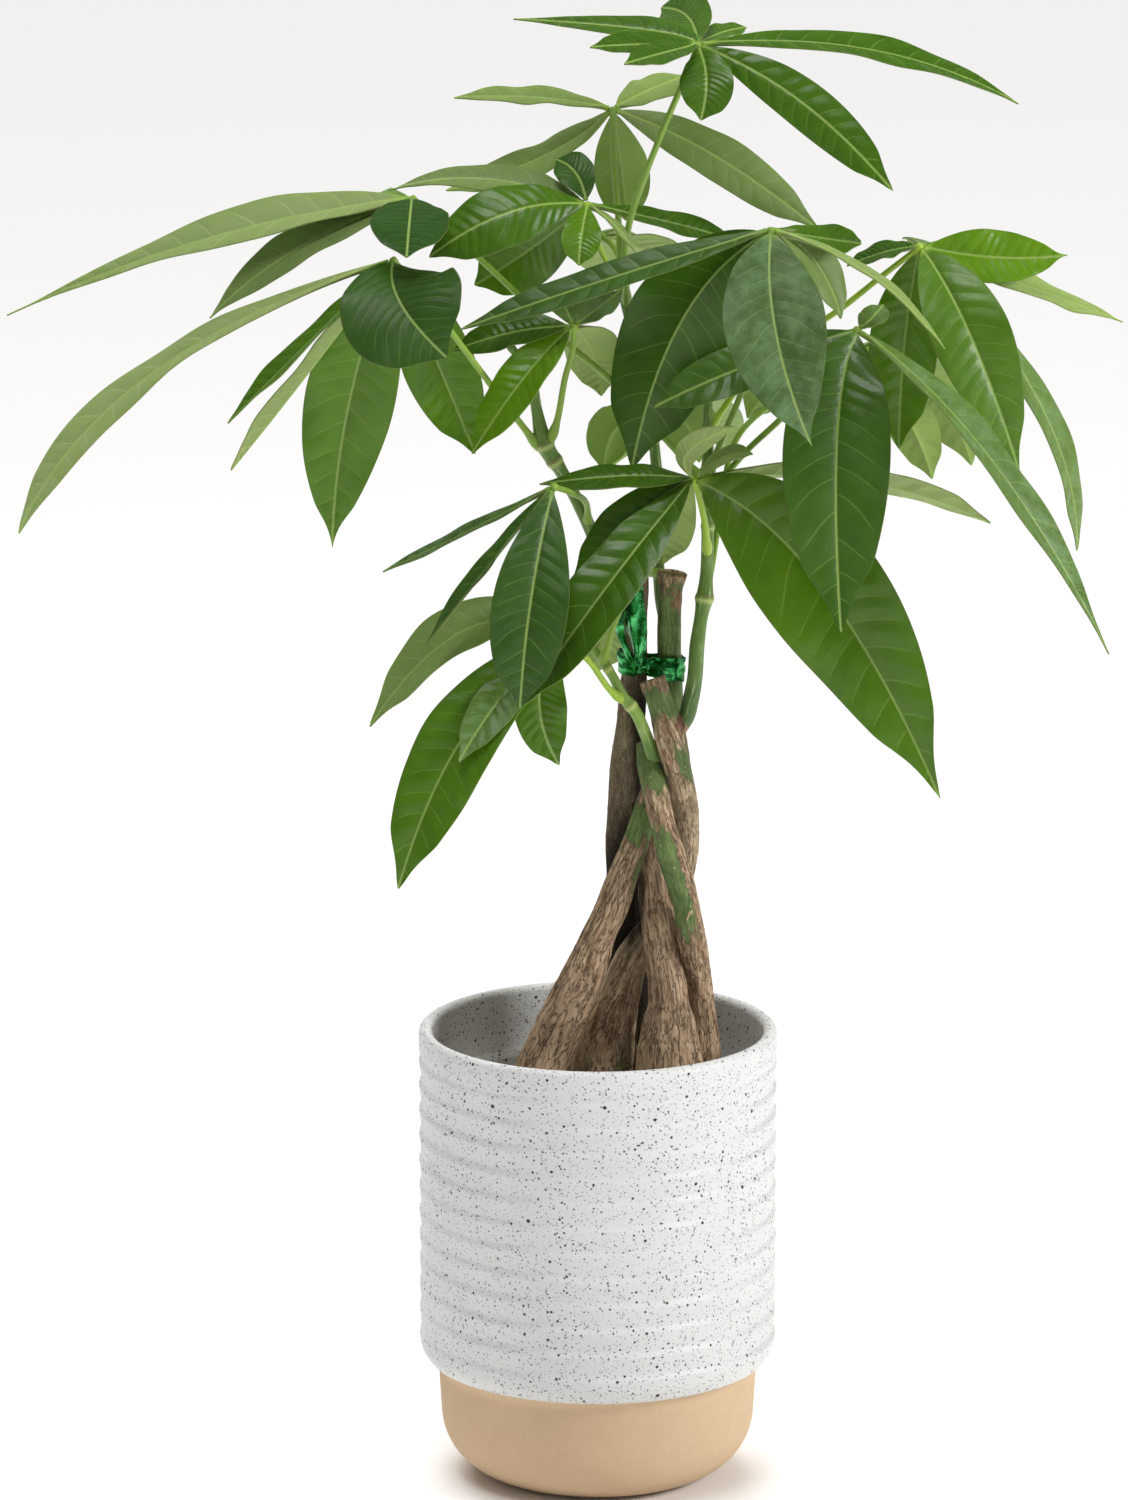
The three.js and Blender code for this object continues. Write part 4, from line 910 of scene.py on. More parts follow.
def turned(shell, profile, sides, wobble=None):
    """A profile of (radius, height) carried round the z axis. wobble(angle, heights) moves it outward."""
    angle = turns(sides)
    radius = profile[:, :1] + (0.0 if wobble is None else wobble(angle[None, :], profile[:, 1:]))
    radius = np.broadcast_to(radius, (len(profile), sides))
    height = np.broadcast_to(profile[:, 1:], radius.shape)
    points = np.stack([radius * np.cos(angle), radius * np.sin(angle), height], -1)
    length = np.concatenate([[0.0], np.cumsum(np.linalg.norm(np.diff(profile, axis=0), axis=1))])
    shell.grid(points, np.arange(sides) / sides, length / length[-1], PLAIN, u_end=1.0)


def ridge_out(angle, height):
    """How far the thrown ridges stand out of the wall: just below each line the wall is full, it tapers
    by RIDGE_STEP down to the next line, and steps out again over RIDGE_LEDGE."""
    lift = 0.35 * waves(11, 6, (angle, 3.0, True), (height, 0.12, False))
    down = (RIDGE_TOP + lift - height) / RIDGE_PITCH
    share = down - np.floor(down)
    ledge = RIDGE_LEDGE / RIDGE_PITCH
    out = np.where(share < 1.0 - ledge, 1.0 - share / (1.0 - ledge), smoothstep(1.0 - ledge, 1.0, share))
    strength = 0.8 + 0.2 * waves(12, 5, (angle, 4.0, True), (height, 0.2, False))
    inside = smoothstep(-0.6, 0.0, down) * smoothstep(RIDGE_COUNT + 0.1, RIDGE_COUNT - 0.4, down)
    return RIDGE_STEP * strength * inside * (out - 1.0)


def make_pot(material):
    """The planter, turned round its axis: its foot and round bare base, the ridged wall, the rim, and the
    inside down to the cavity's floor."""
    wall = np.linspace(BASE_HEIGHT + SKIRT_FILLET, POT_HEIGHT - RIM_RADIUS, 230)[1:-1]
    inner_corner = CAVITY_FLOOR_RADIUS + CAVITY_FILLET
    below_wall = np.concatenate(
        [
            [[6.0, 0.0], [20.0, 0.0], [30.0, 0.0]],
            arc(FOOT_RADIUS, FOOT_FILLET, FOOT_FILLET, -90.0, -4.0, 26),
            [[BASE_TOP_RADIUS - 0.2, BASE_HEIGHT - 4.0], [BASE_TOP_RADIUS, BASE_HEIGHT - 0.05]],
            [[BASE_TOP_RADIUS + 0.6, BASE_HEIGHT + 0.1]],
            arc(POT_RADIUS - SKIRT_FILLET, BASE_HEIGHT + SKIRT_FILLET, SKIRT_FILLET, -84.0, 0.0, 14),
        ]
    )
    above_wall = np.concatenate(
        [
            arc(POT_RADIUS - RIM_RADIUS, POT_HEIGHT - RIM_RADIUS, RIM_RADIUS, 0.0, 180.0, 16),
            [[WALL_INNER_RADIUS, 155.0], [WALL_INNER_RADIUS, LEDGE_HEIGHT + 0.6]],
            [[WALL_INNER_RADIUS - 0.4, LEDGE_HEIGHT]],
            [[LOWER_INNER_RADIUS + 0.5, LEDGE_HEIGHT - LEDGE_SLOPE + 0.4]],
            [[LOWER_INNER_RADIUS, LEDGE_HEIGHT - LEDGE_SLOPE - 0.6]],
            [[inner_corner, BASE_HEIGHT]],
            arc(CAVITY_FLOOR_RADIUS, CAVITY_FLOOR + CAVITY_FILLET, CAVITY_FILLET, 0.0, -90.0, 8),
            [[8.0, CAVITY_FLOOR]],
        ]
    )
    profile = np.concatenate([below_wall, np.stack([np.full_like(wall, POT_RADIUS), wall], -1), above_wall])

    def wobble(angle, height):
        """The ridges, on the outside only."""
        outside = (np.arange(len(height)) < len(below_wall) + len(wall))[:, None]
        return np.where(outside, ridge_out(angle, height), 0.0)

    shell = Shell()
    turned(shell, profile, PLANTER_SIDES, wobble)
    place(shell.build("planter", material), "glaze", "pot")


def grower_radius(height):
    """The nursery pot's outer radius at a height: it widens evenly."""
    share = (height - CAVITY_FLOOR) / (GROWER_TOP - CAVITY_FLOOR)
    return GROWER_RADIUS_FOOT + share * (GROWER_RADIUS_TOP - GROWER_RADIUS_FOOT)


def make_nursery_pot(material):
    """The thin nursery pot, turned round the same axis, with a thickened lip."""
    foot = CAVITY_FLOOR + CLEARANCE
    lip_foot = GROWER_TOP - GROWER_LIP_HEIGHT
    top_radius = grower_radius(GROWER_TOP)
    profile = np.array(
        [
            [5.0, foot],
            [grower_radius(foot) - 1.0, foot],
            [grower_radius(foot), foot + 1.0],
            [grower_radius(lip_foot), lip_foot],
            [grower_radius(lip_foot) + GROWER_LIP * 0.7, lip_foot + 0.3],
            [grower_radius(lip_foot) + GROWER_LIP, lip_foot + 1.2],
            [top_radius + GROWER_LIP, GROWER_TOP - 1.2],
            [top_radius + GROWER_LIP * 0.7, GROWER_TOP - 0.2],
            [top_radius + 0.2, GROWER_TOP],
            [top_radius - GROWER_WALL, GROWER_TOP - 0.6],
            [grower_radius(foot + 2.0) - GROWER_WALL, foot + 2.0],
            [5.0, foot + GROWER_WALL],
        ]
    )
    shell = Shell()
    turned(shell, profile, NURSERY_POT_SIDES)
    place(shell.build("nursery_pot", material), "plastic", "grower_pot")


def soil_height(x, y):
    """The soil's surface: crowned in the middle, in clods and crumbs of three sizes."""
    edge = grower_radius(SOIL_TOP) - GROWER_WALL
    crown = SOIL_CROWN * (1.0 - np.hypot(x, y) / edge)
    clods = waves(21, 14, (x, 0.35, False), (y, 0.35, False))
    crumbs = waves(22, 26, (x, 1.6, False), (y, 1.6, False))
    return SOIL_TOP + crown + 0.5 * clods + 0.45 * crumbs


def make_soil(material):
    """The soil as a plug with a crumbled top, and chips of bark strewn on it, each one a bent plate."""
    angle = turns(SOIL_SIDES)
    edge = grower_radius(SOIL_TOP) - GROWER_WALL - CLEARANCE
    foot = CAVITY_FLOOR + GROWER_WALL + 2.0 * CLEARANCE
    foot_radius = grower_radius(foot) - GROWER_WALL - CLEARANCE
    radii = np.concatenate([[0.15, 0.97, 1.0], np.linspace(1.0, 0.012, 110)])[:, None]
    scale = np.concatenate([[foot_radius] * 2, [edge] * 111])[:, None]
    x = radii * scale * np.cos(angle)
    y = radii * scale * np.sin(angle)
    z = soil_height(x, y)
    z[:2] = foot
    z[2] = SOIL_TOP - 3.0
    shell = Shell()
    rows = len(radii)
    share_round, share_along = np.arange(SOIL_SIDES) / SOIL_SIDES, np.arange(rows) / rows
    shell.grid(np.stack([x, y, z], -1), share_round, share_along, PLAIN, u_end=1.0)
    random = np.random.default_rng(23)
    around = turns(CHIP_SIDES)
    rows, sides = len(CHIP_STATIONS), CHIP_SIDES
    for _ in range(CHIP_COUNT):
        reach, turn = CHIP_REACH * math.sqrt(random.uniform()), random.uniform(0.0, 2.0 * math.pi)
        centre = np.array([reach * math.cos(turn), reach * math.sin(turn), 0.0])
        centre[2] = soil_height(centre[0], centre[1]) + 0.5
        long, wide = random.uniform(1.2, 4.2), random.uniform(0.7, 1.8)
        heading = random.uniform(0.0, math.pi)
        tilt = random.uniform(-0.5, 0.5)
        ahead = np.array([math.cos(heading), math.sin(heading), tilt])
        aside = np.array([-math.sin(heading), math.cos(heading), random.uniform(-0.4, 0.4)])
        chip = (
            centre
            + (CHIP_STATIONS * long)[..., None] * ahead
            + (CHIP_GIRTHS * wide * np.cos(around))[..., None] * aside
            + (CHIP_GIRTHS * CHIP_HALF_THICKNESS * np.sin(around))[..., None] * np.array([0.0, 0.0, 1.0])
        )
        shell.grid(chip, np.arange(sides) / sides, np.arange(rows) / rows, PLAIN, u_end=1.0)
    place(shell.build("potting_soil", material), "soil", "soil")


def limb(shell, rows, relief, kind, cut_end=False):
    """A round limb along a smooth line through rows of x, y, z and radius: each ring is the line's radius
    times its row of relief. The end is rounded over, or cut square with a slightly sunken face."""
    count, around = relief.shape
    path, length = smooth_path(rows, count)
    line, radius = path[:, :3], path[:, 3]
    along, side, other = across_frame(line)
    girth = radius[:, None] * relief
    if cut_end:
        caps = np.array([[0.0, 1.0], [0.35, 0.96], [0.1, 0.8], [-0.1, 0.45], [0.0, 0.12]])
    else:
        caps = np.array([[0.5, 0.87], [0.87, 0.5], [0.98, 0.17]])
    reach = caps[:, 0] if cut_end else caps[:, 0] * radius[-1]
    end_line = line[-1] + reach[:, None] * along[-1]
    line = np.concatenate([line, end_line])
    girth = np.concatenate([girth, caps[:, 1:] * girth[-1]])
    side = np.concatenate([side, np.repeat(side[-1:], len(caps), 0)])
    other = np.concatenate([other, np.repeat(other[-1:], len(caps), 0)])
    length = np.concatenate([length, length[-1] + np.arange(1, len(caps) + 1) * 0.5])
    kind = np.broadcast_to(kind, (count, around, 4))
    kind = np.concatenate([kind, np.repeat(kind[-1:], len(caps), 0)])
    points = line[:, None, :] + girth[..., None] * spokes(around, side, other)
    circumference = 2.0 * math.pi * float(np.mean(radius)) * MM
    turn = np.arange(around) / around * circumference
    shell.grid(points, turn, length * MM, kind, u_end=circumference)


def spokes(around, side, other):
    """Directions out from a line, for each of its points and each place round it."""
    angle = turns(around)[None, :, None]
    return np.cos(angle) * side[:, None, :] + np.sin(angle) * other[:, None, :]


def limb_rows(line):
    """Rows of x, y, z and radius, from rows of column, row, depth and radius."""
    return np.array([[*placed(row, LIMB_SPACING), row[3]] for row in line])


def stem_rows(line):
    """A stem's rows, with its root in the soil straight below the first one."""
    points = limb_rows(line)
    root = points[0].copy()
    root[2] = SOIL_TOP - ROOT_DEPTH
    return np.vstack([root, points])


def patch_marks(patches, x, z):
    """How far each mark holds at places that show at x, z. A patch is 1 inside a rounded box about its
    middle and fades out over its edge, and its middle line moves sideways by its lean with the height.
    Waves across the stem make the box's upper and lower edges uneven."""
    marks = {mark: np.zeros_like(x) for mark in MARKS}
    uneven = 1.5 * np.sin(0.9 * x + 0.3 * z) + 1.0 * np.sin(2.1 * x - 0.5 * z + 1.0)
    for mark, column, row, half_columns, half_rows, lean, share in patches:
        middle_x, middle_z = on_plane(column, row, LIMB_SPACING)
        half_x, half_z = in_mm(half_columns), in_mm(half_rows)
        up = z - middle_z + uneven
        beside = x - middle_x - lean * up
        reach = ((beside / half_x) ** 4 + (up / half_z) ** 4) ** 0.25
        marks[mark] = np.maximum(marks[mark], share * smoothstep(1.6, 0.5, reach))
    return marks


def make_stem(name, line, material, seed):
    """A trunk stem: its girth has slow knobs, scaly plates, fine ridges lengthwise and leaf-scar rings,
    is smooth where the skin is green, and swells over callus."""
    rows = stem_rows(line)
    path, length = smooth_path(rows, STEM_ROWS)
    _, side, other = across_frame(path[:, :3])
    outward = spokes(STEM_COLUMNS, side, other)
    x, z = shown(path[:, None, :3] + path[:, None, 3:4] * outward)
    marks = patch_marks(PATCHES[name], x, z)
    # The painted shade keeps to the sides of a stem that face the front.
    marks["painted_shade"] = marks["painted_shade"] * smoothstep(0.4, -0.3, outward[..., 1])
    angle, at = turns(STEM_COLUMNS)[None, :], length[:, None]
    rings = np.cumsum(np.random.default_rng(seed).uniform(9.0, 17.0, 20)).reshape((-1, 1, 1))
    wobble = (at + 1.2 * np.sin(angle + seed) - rings) / 0.8
    rough = 1.0 - 0.8 * marks["young"]
    relief = 1.0 + 0.03 * waves(seed + 1, 8, (angle, 2.0, True), (at, 0.25, False))
    relief = relief + rough * 0.025 * waves(seed + 2, 14, (angle, 9.0, True), (at, 0.35, False))
    relief = relief + rough * 0.022 * waves(seed + 3, 22, (angle, 26.0, True), (at, 0.3, False))
    relief = relief + 0.02 * np.exp(-(wobble**2)).sum(axis=0)
    relief = relief + 0.05 * marks["callus_and_painted_light"] + 0.04 * marks["scar"] + 0.04 * marks["painted_shade"]
    shell = Shell()
    limb(shell, rows, relief, np.stack([marks[mark] for mark in MARKS], -1), cut_end=True)
    place(shell.build("bark_" + name, material), "bark", name)


def make_shoot(name, line, material, seed):
    """A green shoot: nearly round, with a swollen ring at each node."""
    rows = limb_rows(line)
    _, length = smooth_path(rows, SHOOT_ROWS)
    nodes = length[-1] * np.array(SHOOT_NODES[name]).reshape((-1, 1, 1))
    angle, at = turns(SHOOT_COLUMNS)[None, :], length[:, None]
    relief = 1.0 + 0.025 * waves(seed, 10, (angle, 5.0, True), (at, 0.15, False))
    relief = relief + 0.17 * np.exp(-(((at - nodes) / 1.5) ** 2)).sum(axis=0)
    node = np.exp(-(((at - nodes + 0.6) / 0.8) ** 2)).max(axis=0)
    scar = np.exp(-(((at - nodes - 0.9) / 0.35) ** 2)).max(axis=0)
    base = smoothstep(3.5, 0.5, at)
    age = SHOOT_AGE[name] * (1.0 - 0.4 * at / length[-1]) + 0.6 * smoothstep(22.0, 4.0, at)
    kind = [np.minimum(age, 1.0), np.maximum(scar * 0.6, base * 0.8), node * 0.8, np.zeros_like(at)]
    kind = np.stack([np.broadcast_to(value, relief.shape) for value in kind], -1)
    shell = Shell()
    limb(shell, rows, relief, kind)
    place(shell.build("green_" + name, material), "shoot", name)


# Across each blade, from edge to edge: closer together at the midrib and at the edges.
ACROSS = np.array([0.0, 0.035, 0.08, 0.17, 0.29, 0.42, 0.56, 0.7, 0.82, 0.92, 0.975, 1.0])
ACROSS = np.concatenate([-ACROSS[:0:-1], ACROSS])


def leaflet_outline(t, widest):
    """The half width along a leaflet: t to one power times (1 - t) to another, 1 at its widest, and drawn
    in to a drip tip at the end."""
    tip_shape = BASE_SHAPE * (1.0 - widest) / widest
    most = widest**BASE_SHAPE * (1.0 - widest) ** tip_shape
    plain = t**BASE_SHAPE * (1.0 - t) ** tip_shape / most
    return plain * (1.0 - 0.42 * smoothstep(0.84, 0.97, t))


def add_leaflet(shell, hub, seed, middle, tip, half_width, face, tone, pale, fold=0.16, widest=0.56):
    """A leaflet: a bowed midrib (a curve of degree two through the given middle), and at each place on
    it a cross-section that is folded up from the rib and curls down at the edge, waved, and quilted
    between the side veins. The underside lies below it by the blade's thickness, thicker along the
    midrib."""
    middle_place, end = placed(middle, LEAF_SPACING), placed(tip, LEAF_SPACING)
    base = hub + LEAFLET_START * unit(middle_place - hub)
    bow = 2.0 * middle_place - 0.5 * (base + end)
    reach = float(np.linalg.norm(end - base))
    count = int(26 + 1.1 * reach)
    t = np.linspace(0.0, 1.0, count)[:, None]
    centre = (1 - t) ** 2 * base + 2 * t * (1 - t) * bow + t**2 * end
    along = unit(2 * (1 - t) * (bow - base) + 2 * t * (end - bow))
    facing = np.array(face, float)
    up = unit(facing - (along @ facing)[:, None] * along)
    side = np.cross(up, along)
    width = np.maximum(half_width * leaflet_outline(t, widest), BLADE_LEAST_HALF_WIDTH * (1.0 - 0.75 * t))
    s = ACROSS[None, :]
    off = np.abs(s)
    random = np.random.default_rng(seed)
    phases = random.uniform(0.0, 2.0 * math.pi, 4)
    counts = np.where(s < 0, *random.uniform(1.6, 2.8, 2)) * 2.0 * math.pi
    sway = np.sin(counts * t + np.where(s < 0, phases[0], phases[1]))
    ripple = np.sin(9.0 * math.pi * t + phases[2] + 1.5 * s)
    wave = (0.075 * sway + 0.02 * ripple) * off**2.2 * width * smoothstep(0.05, 0.3, t)
    folded = ((fold + BLADE_CURL) * off - BLADE_CURL * off**2) * width
    spacing = reach / VEIN_COUNT
    drift = 0.25 * np.sin(11.0 * t + phases[3]) + 0.12 * np.sin(23.0 * t + phases[2])
    veins = (reach * t - VEIN_SLANT * width * off**1.3) / spacing + drift
    quilt = np.abs(np.sin(math.pi * (veins + VEIN_OFFSET * (s > 0)))) ** 0.7 - 0.7
    body = smoothstep(0.05, 0.25, off) * smoothstep(1.0, 0.8, off) * smoothstep(0.02, 0.15, t)
    height = folded + wave + QUILT_DEPTH * spacing * quilt * body * smoothstep(1.0, 0.85, t)
    half_thick = 0.22 + 0.45 * np.exp(-((t / 0.1) ** 2))
    rib = 0.55 * (1.0 - 0.75 * t) * np.exp(-((off * width / 0.7) ** 2))
    groove = 0.25 * (1.0 - 0.6 * t) * np.exp(-((off * width / 0.6) ** 2)) * smoothstep(0.05, 0.2, t)
    flat = centre[:, None, :] + (s * width)[..., None] * side[:, None, :]
    top = flat + (height + half_thick - groove)[..., None] * up[:, None, :]
    bottom = flat + (height - half_thick - rib)[..., None] * up[:, None, :]

    def both(values):
        """The bottom's columns and then the top's, from right to left."""
        return np.concatenate([values, values[:, ::-1]], axis=1)

    # A bright leaflet's lower face takes the upper colour, painted light shining through; pale below 0
    # darkens the lower face as painted shade; the upper face takes the underside's pale colour by pale, a
    # painted sheen.
    below = np.clip(1.0 - 0.75 * smoothstep(0.65, 0.95, tone) + min(pale, 0.0), 0.0, 1.0)
    is_under = np.concatenate([np.full(len(ACROSS), below), np.full(len(ACROSS), max(pale, 0.0))])
    kind = [is_under, tone, smoothstep(0.06, 0.0, t), both(off)]
    kind = np.stack([np.broadcast_to(value, (count, 2 * len(ACROSS))) for value in kind], -1)
    shell.grid(np.concatenate([bottom, top[:, ::-1]], axis=1), both(s * width), both(veins), kind)


def make_leaf(name, row, material, seed):
    """A palmate leaf: its stalk, swollen at its foot and where the leaflets meet, and the leaflets."""
    stalk, stalk_tone, *leaflets = row
    points = [placed(point, LEAF_SPACING) for point in stalk]
    hub = points[-1]
    radii = np.linspace(1.25, 1.0, len(points)) * STALK_RADIUS
    rows = np.array([[*point, radius] for point, radius in zip(points, radii)])
    _, length = smooth_path(rows, STALK_ROWS)
    at = length[:, None]
    relief = 1.0 + 0.55 * np.exp(-(((at - 3.0) / 3.5) ** 2)) + 0.6 * np.exp(-(((at - length[-1]) / 2.0) ** 2))
    relief = relief + 0.03 * np.sin(3.0 * turns(STALK_COLUMNS)[None, :])
    shell = Shell()
    limb(shell, rows, relief, (0.0, stalk_tone, 1.0, 0.0))
    for number, leaflet in enumerate(leaflets):
        add_leaflet(shell, hub, seed * 100 + number, *leaflet)
    place(shell.build("foliage_" + name, material), "leaf", name)


# The ribbon round the two stem tops: the stems' x, y and radius there, and the ribbon's own sizes. The
# knot is given as x, z and y, the way it shows, and its radius.
TIE_STEMS = [(12.6, 5.0, 4.6), (25.9, 6.0, 4.4)]
TIE_BOTTOM = 295.5
TIE_TOP = 304.0
TIE_THICKNESS = 1.4
TIE_DROP = 0.14  # the band falls this far to the right for each millimetre
KNOT = ([16.0, 300.5, -2.5], 3.0)
# Each tail: the places on its line, its half width in pixels at the foot, the middle and the end, and the
# way its face looks.
TAILS = [
    (
        [(640, 664, -4), (639, 645, -6), (636, 625, -6.5), (635, 602, -6), (635, 584, -5), (637, 566, -1)],
        (5, 11, 5),
        (-0.25, -1, 0.1),
    ),
    (
        [(632, 660, -4.5), (622, 640, -6), (618, 620, -6), (619, 600, -5), (620, 582, -3.5)],
        (3, 6, 4),
        (-0.4, -1, 0.2),
    ),
]


def make_tie(material):
    """A crumpled band round both stems, whose outline is two half circles joined by straights, with a
    knot and two standing tails. Crumples are short waves in the band's thickness and edges."""
    (left_x, left_y, left_r), (right_x, right_y, right_r) = TIE_STEMS
    heading = np.radians(np.concatenate([np.linspace(-90.0, 90.0, 60), np.linspace(90.0, 270.0, 60)]))
    is_right = (np.arange(120) < 60)[:, None]
    centres = np.where(is_right, [right_x, right_y], [left_x, left_y])
    outward = np.stack([np.cos(heading), np.sin(heading)], -1)
    loop = np.column_stack([centres + np.where(is_right, right_r, left_r) * outward, outward])
    loop = np.vstack([loop, loop[:1]])
    travel = np.concatenate([[0.0], np.cumsum(np.linalg.norm(np.diff(loop[:, :2], axis=0), axis=1))])
    at = np.linspace(0.0, travel[-1], 130, endpoint=False)
    loop = np.stack([np.interp(at, travel, loop[:, k]) for k in range(4)], -1)
    turn = 2.0 * math.pi * at[:, None] / travel[-1]
    across = np.linspace(0.0, 1.0, 8)
    is_out = np.concatenate([np.ones(8), np.zeros(8)])[None, :]
    level = np.concatenate([across, across[::-1]])[None, :]
    folds = np.abs(waves(31, 5, (turn, 5.0, True), (level, 8.0, False)))
    crumple = waves(34, 8, (turn, 16.0, True), (level, 6.0, False))
    thick = CLEARANCE + is_out * np.clip(0.35 + 0.6 * folds + 0.08 * crumple, 0.1, TIE_THICKNESS)
    edge = 0.4 * waves(32, 9, (turn, 14.0, True))
    tall = (TIE_TOP - TIE_BOTTOM) * (1.0 - 0.35 * np.exp(-(((loop[:, :1] - KNOT[0][0]) / 4.0) ** 2)))
    drop = TIE_DROP * (loop[:, :1] - (left_x + right_x) / 2.0)
    z = (TIE_BOTTOM + TIE_TOP) / 2.0 + (level - 0.5) * tall + edge - drop
    x = loop[:, :1] + thick * loop[:, 2:3]
    y = loop[:, 1:2] + thick * loop[:, 3:4]
    shell = Shell()
    shell.grid(np.stack([x, y, z], -1), level[0], at / travel[-1], PLAIN, ring=True)
    pole = np.linspace(-math.pi / 2, math.pi / 2, 22)[:, None]
    around = turns(28)[None, :]
    lump = KNOT[1] * (0.8 + 0.17 * waves(33, 7, (around, 4.0, True), (pole, 4.0, False)))
    ball = [np.cos(pole) * np.cos(around), np.cos(pole) * np.sin(around), np.sin(pole) + 0.0 * around]
    knot = np.stack(ball, -1) * lump[..., None] * [1.1, 0.8, 1.0] + seen(KNOT[0])
    shell.grid(knot[1:-1], around[0] / 6.3, np.linspace(0, 1, 20), PLAIN, u_end=1.0)
    for number, (line, halves, face) in enumerate(TAILS):
        path, length = smooth_path([placed(point, LIMB_SPACING) for point in line], 34)
        share = length / length[-1]
        along = unit(np.gradient(path, axis=0))
        facing = np.array(face)
        up = unit(facing - (along @ facing)[:, None] * along)
        aside = np.cross(up, along)
        s = np.linspace(-1.0, 1.0, 9)[None, :]
        ragged = 1.0 + 0.08 * waves(35 + number, 5, (length, 0.4, False))
        wide = np.interp(share, [0.0, 0.5, 1.0], [in_mm(half) for half in halves]) * ragged
        crease = np.abs(waves(40 + number, 5, (length[:, None], 0.16, False), (s, 3.5, False)))
        crinkle = waves(44 + number, 8, (length[:, None], 0.5, False), (s, 3.0, False))
        rise = 1.1 * crease + 0.2 * crinkle + 1.2 * np.cos(s * 2.4)
        base = path[:, None, :] + (s * wide[:, None])[..., None] * aside[:, None, :]
        face_up = base + (rise + 0.12)[..., None] * up[:, None, :]
        face_down = base + (rise - 0.12)[..., None] * up[:, None, :]
        points = np.concatenate([face_down, face_up[:, ::-1]], axis=1)
        shell.grid(points, np.arange(18) / 18, share, PLAIN, u_end=1.0)
    place(shell.build("ribbon", material, smooth=False), "ribbon", "tie")


# --- Camera, floor and light ---------------------------------------------------------------------

FLOOR_REACH_M = 12.0
WORLD_STRENGTH = 0.24
BACK_LIGHT_STRENGTH = 2.7
BACK_LIGHT_SPREAD = 50.0  # degrees


def make_camera():
    """The camera that the photograph was matched with."""
    data = bpy.data.cameras.new("camera")
    data.sensor_fit = "VERTICAL"
    data.sensor_height = CAMERA_SENSOR
    data.lens = CAMERA_LENS
    data.clip_end = 20.0
    camera = bpy.data.objects.new("camera", data)
    camera.location = EYE * MM
    camera.rotation_euler = (math.radians(90.0 - CAMERA_PITCH), 0.0, math.radians(CAMERA_YAW))
    bpy.context.scene.collection.objects.link(camera)
    bpy.context.scene.camera = camera


def make_floor():
    """A wide white card under the planter."""
    material, shader = new_material("white_card", Roughness=0.9)
    grain = noise(material, object_place(material), 4.0, 2.0)
    drive(material, shader, Base_Color=blend_colours(material, grain, "#f8f7f6", "#fbfaf9"))
    reach = FLOOR_REACH_M
    mesh = bpy.data.meshes.new("floor")
    corners = [(-reach, -reach, 0.0), (reach, -reach, 0.0), (reach, reach, 0.0), (-reach, reach, 0.0)]
    mesh.from_pydata(corners, [], [(0, 1, 2, 3)])
    mesh.materials.append(material)
    floor = bpy.data.objects.new("floor", mesh)
    bpy.context.scene.collection.objects.link(floor)


def add_light(name, place_m, aim_m, size_m, power):
    """A white round lamp, size_m across, turned toward its aim."""
    data = bpy.data.lights.new(name, "AREA")
    data.shape = "DISK"
    data.size = size_m
    data.energy = power
    light = bpy.data.objects.new(name, data)
    light.location = place_m
    direction = np.array(aim_m) - np.array(place_m)
    yaw = math.atan2(direction[1], direction[0]) - math.pi / 2
    pitch = math.atan2(direction[2], math.hypot(direction[0], direction[1])) + math.pi / 2
    light.rotation_euler = (pitch, 0.0, yaw)
    bpy.context.scene.collection.objects.link(light)


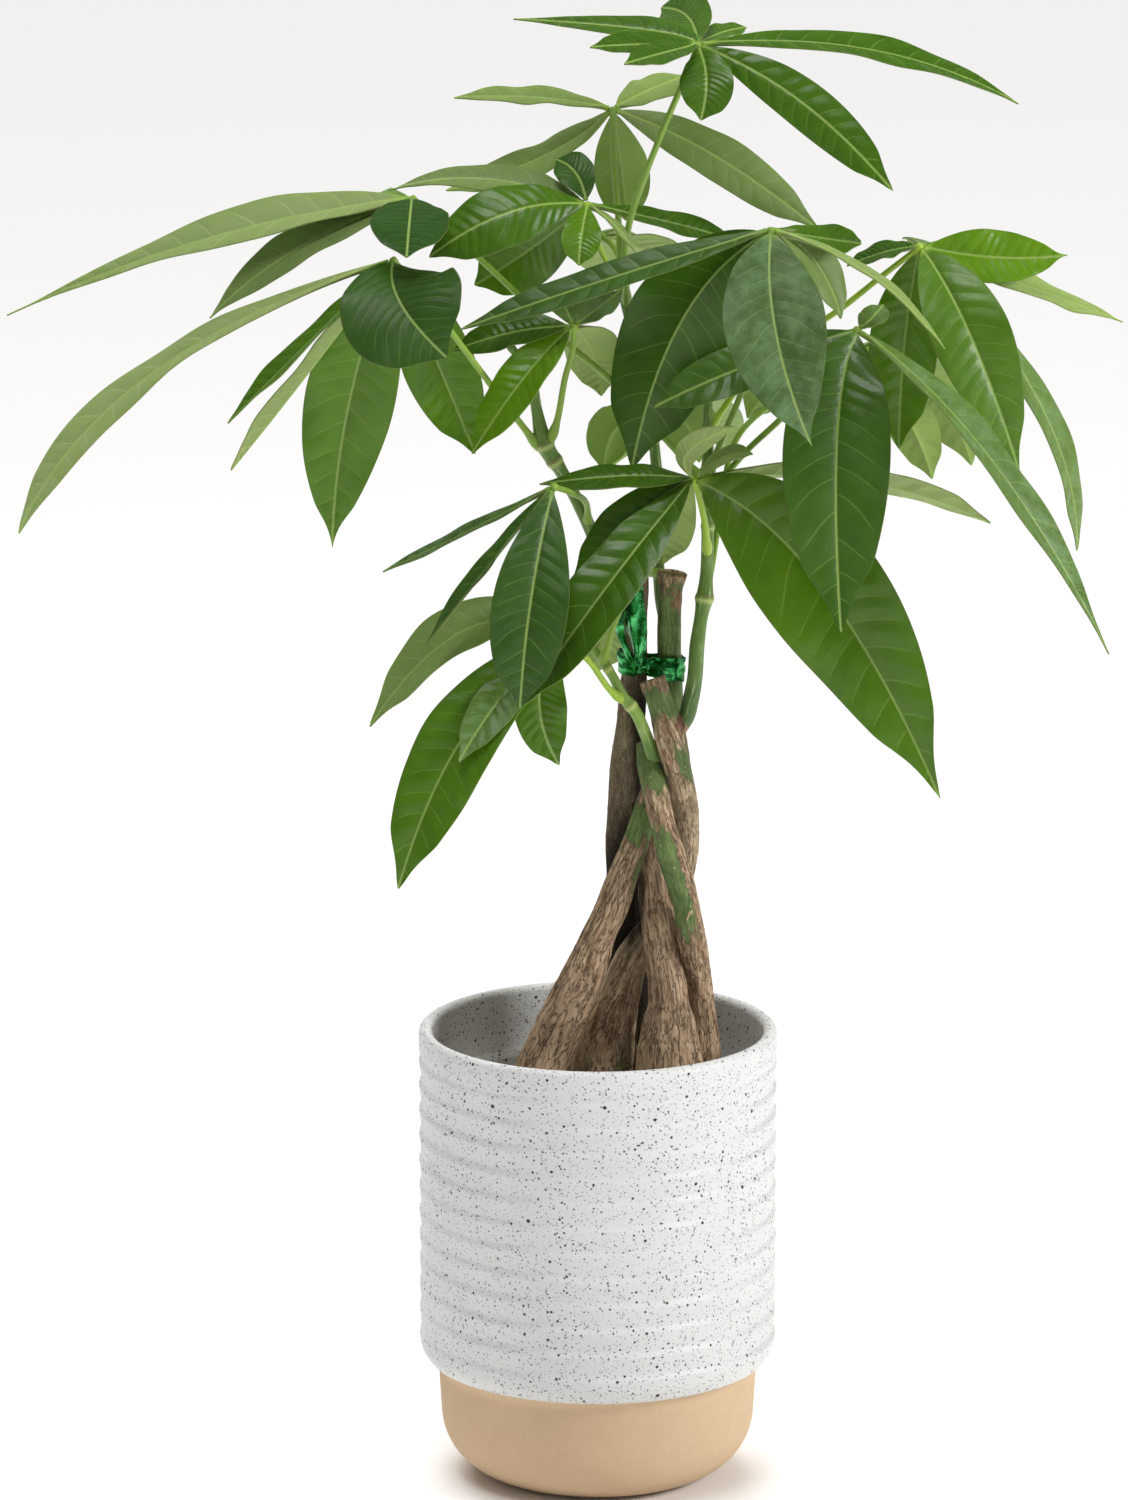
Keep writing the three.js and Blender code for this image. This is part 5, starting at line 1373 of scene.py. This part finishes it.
def make_light():
    """A white world at low strength, a lamp on the right, one overhead and a wide sun from behind."""
    world = bpy.data.worlds.new("studio")
    world.use_nodes = True
    background = world.node_tree.nodes["Background"]
    background.inputs["Color"].default_value = linear("#ffffff")
    background.inputs["Strength"].default_value = WORLD_STRENGTH
    bpy.context.scene.world = world
    bpy.context.scene.view_settings.view_transform = "Standard"
    add_light("key_right", (1.8, -0.75, 1.2), (0.0, 0.0, 0.25), 0.7, 30.0)
    add_light("overhead", (-0.2, -0.55, 1.9), (0.0, 0.0, 0.3), 0.8, 14.0)
    # A wide sun from behind lights the whole floor evenly and shines through the leaves. It makes no
    # highlights, as if polarised, so that it doesn't lay a haze on the leaves.
    data = bpy.data.lights.new("back_light", "SUN")
    data.energy = BACK_LIGHT_STRENGTH
    data.angle = math.radians(BACK_LIGHT_SPREAD)
    back_light = bpy.data.objects.new("back_light", data)
    back_light.visible_glossy = False
    back_light.rotation_euler = (math.radians(-35.0), math.radians(-12.0), 0.0)
    bpy.context.scene.collection.objects.link(back_light)


# --- Making --------------------------------------------------------------------------------------

make_camera()
make_floor()
make_light()
make_pot(speckled_stoneware())
make_nursery_pot(nursery_plastic())
make_soil(potting_soil())
# The stem that shows behind the others has darker bark, painted shade for its place deep in the braid, under
# a network of pale ridges. The one whose root comes forward on the left is the palest: partly its own paler
# bark, partly painted light on a root that lies in shade.
front_bark = bark("living_bark", "#8f755c", "#c0a487", "#ceb698", "#463528")
painted_shade_bark = bark("shaded_bark", "#55473a", "#7b6a55", "#a09074", "#b3a488")
pale_and_painted_light_bark = bark("pale_and_painted_light_bark", "#a08a6c", "#d2bb9b", "#dfceb0", "#58452f")
STEM_BARKS = {"stem_left_back": painted_shade_bark, "stem_back_to_right": pale_and_painted_light_bark}
for order, (stem_name, stem_line) in enumerate(STEMS.items()):
    stem_material = STEM_BARKS.get(stem_name, front_bark)
    make_stem(stem_name, stem_line, stem_material, 100 + 10 * order)
shoot_material = green_shoot()
for order, (shoot_name, shoot_line) in enumerate(SHOOTS.items()):
    make_shoot(shoot_name, shoot_line, shoot_material, 200 + order)
make_tie(metallic_film())
leaf_material = leaf_skin()
for order, (leaf_name, leaf_row) in enumerate(LEAVES.items()):
    make_leaf(leaf_name, leaf_row, leaf_material, 300 + order)
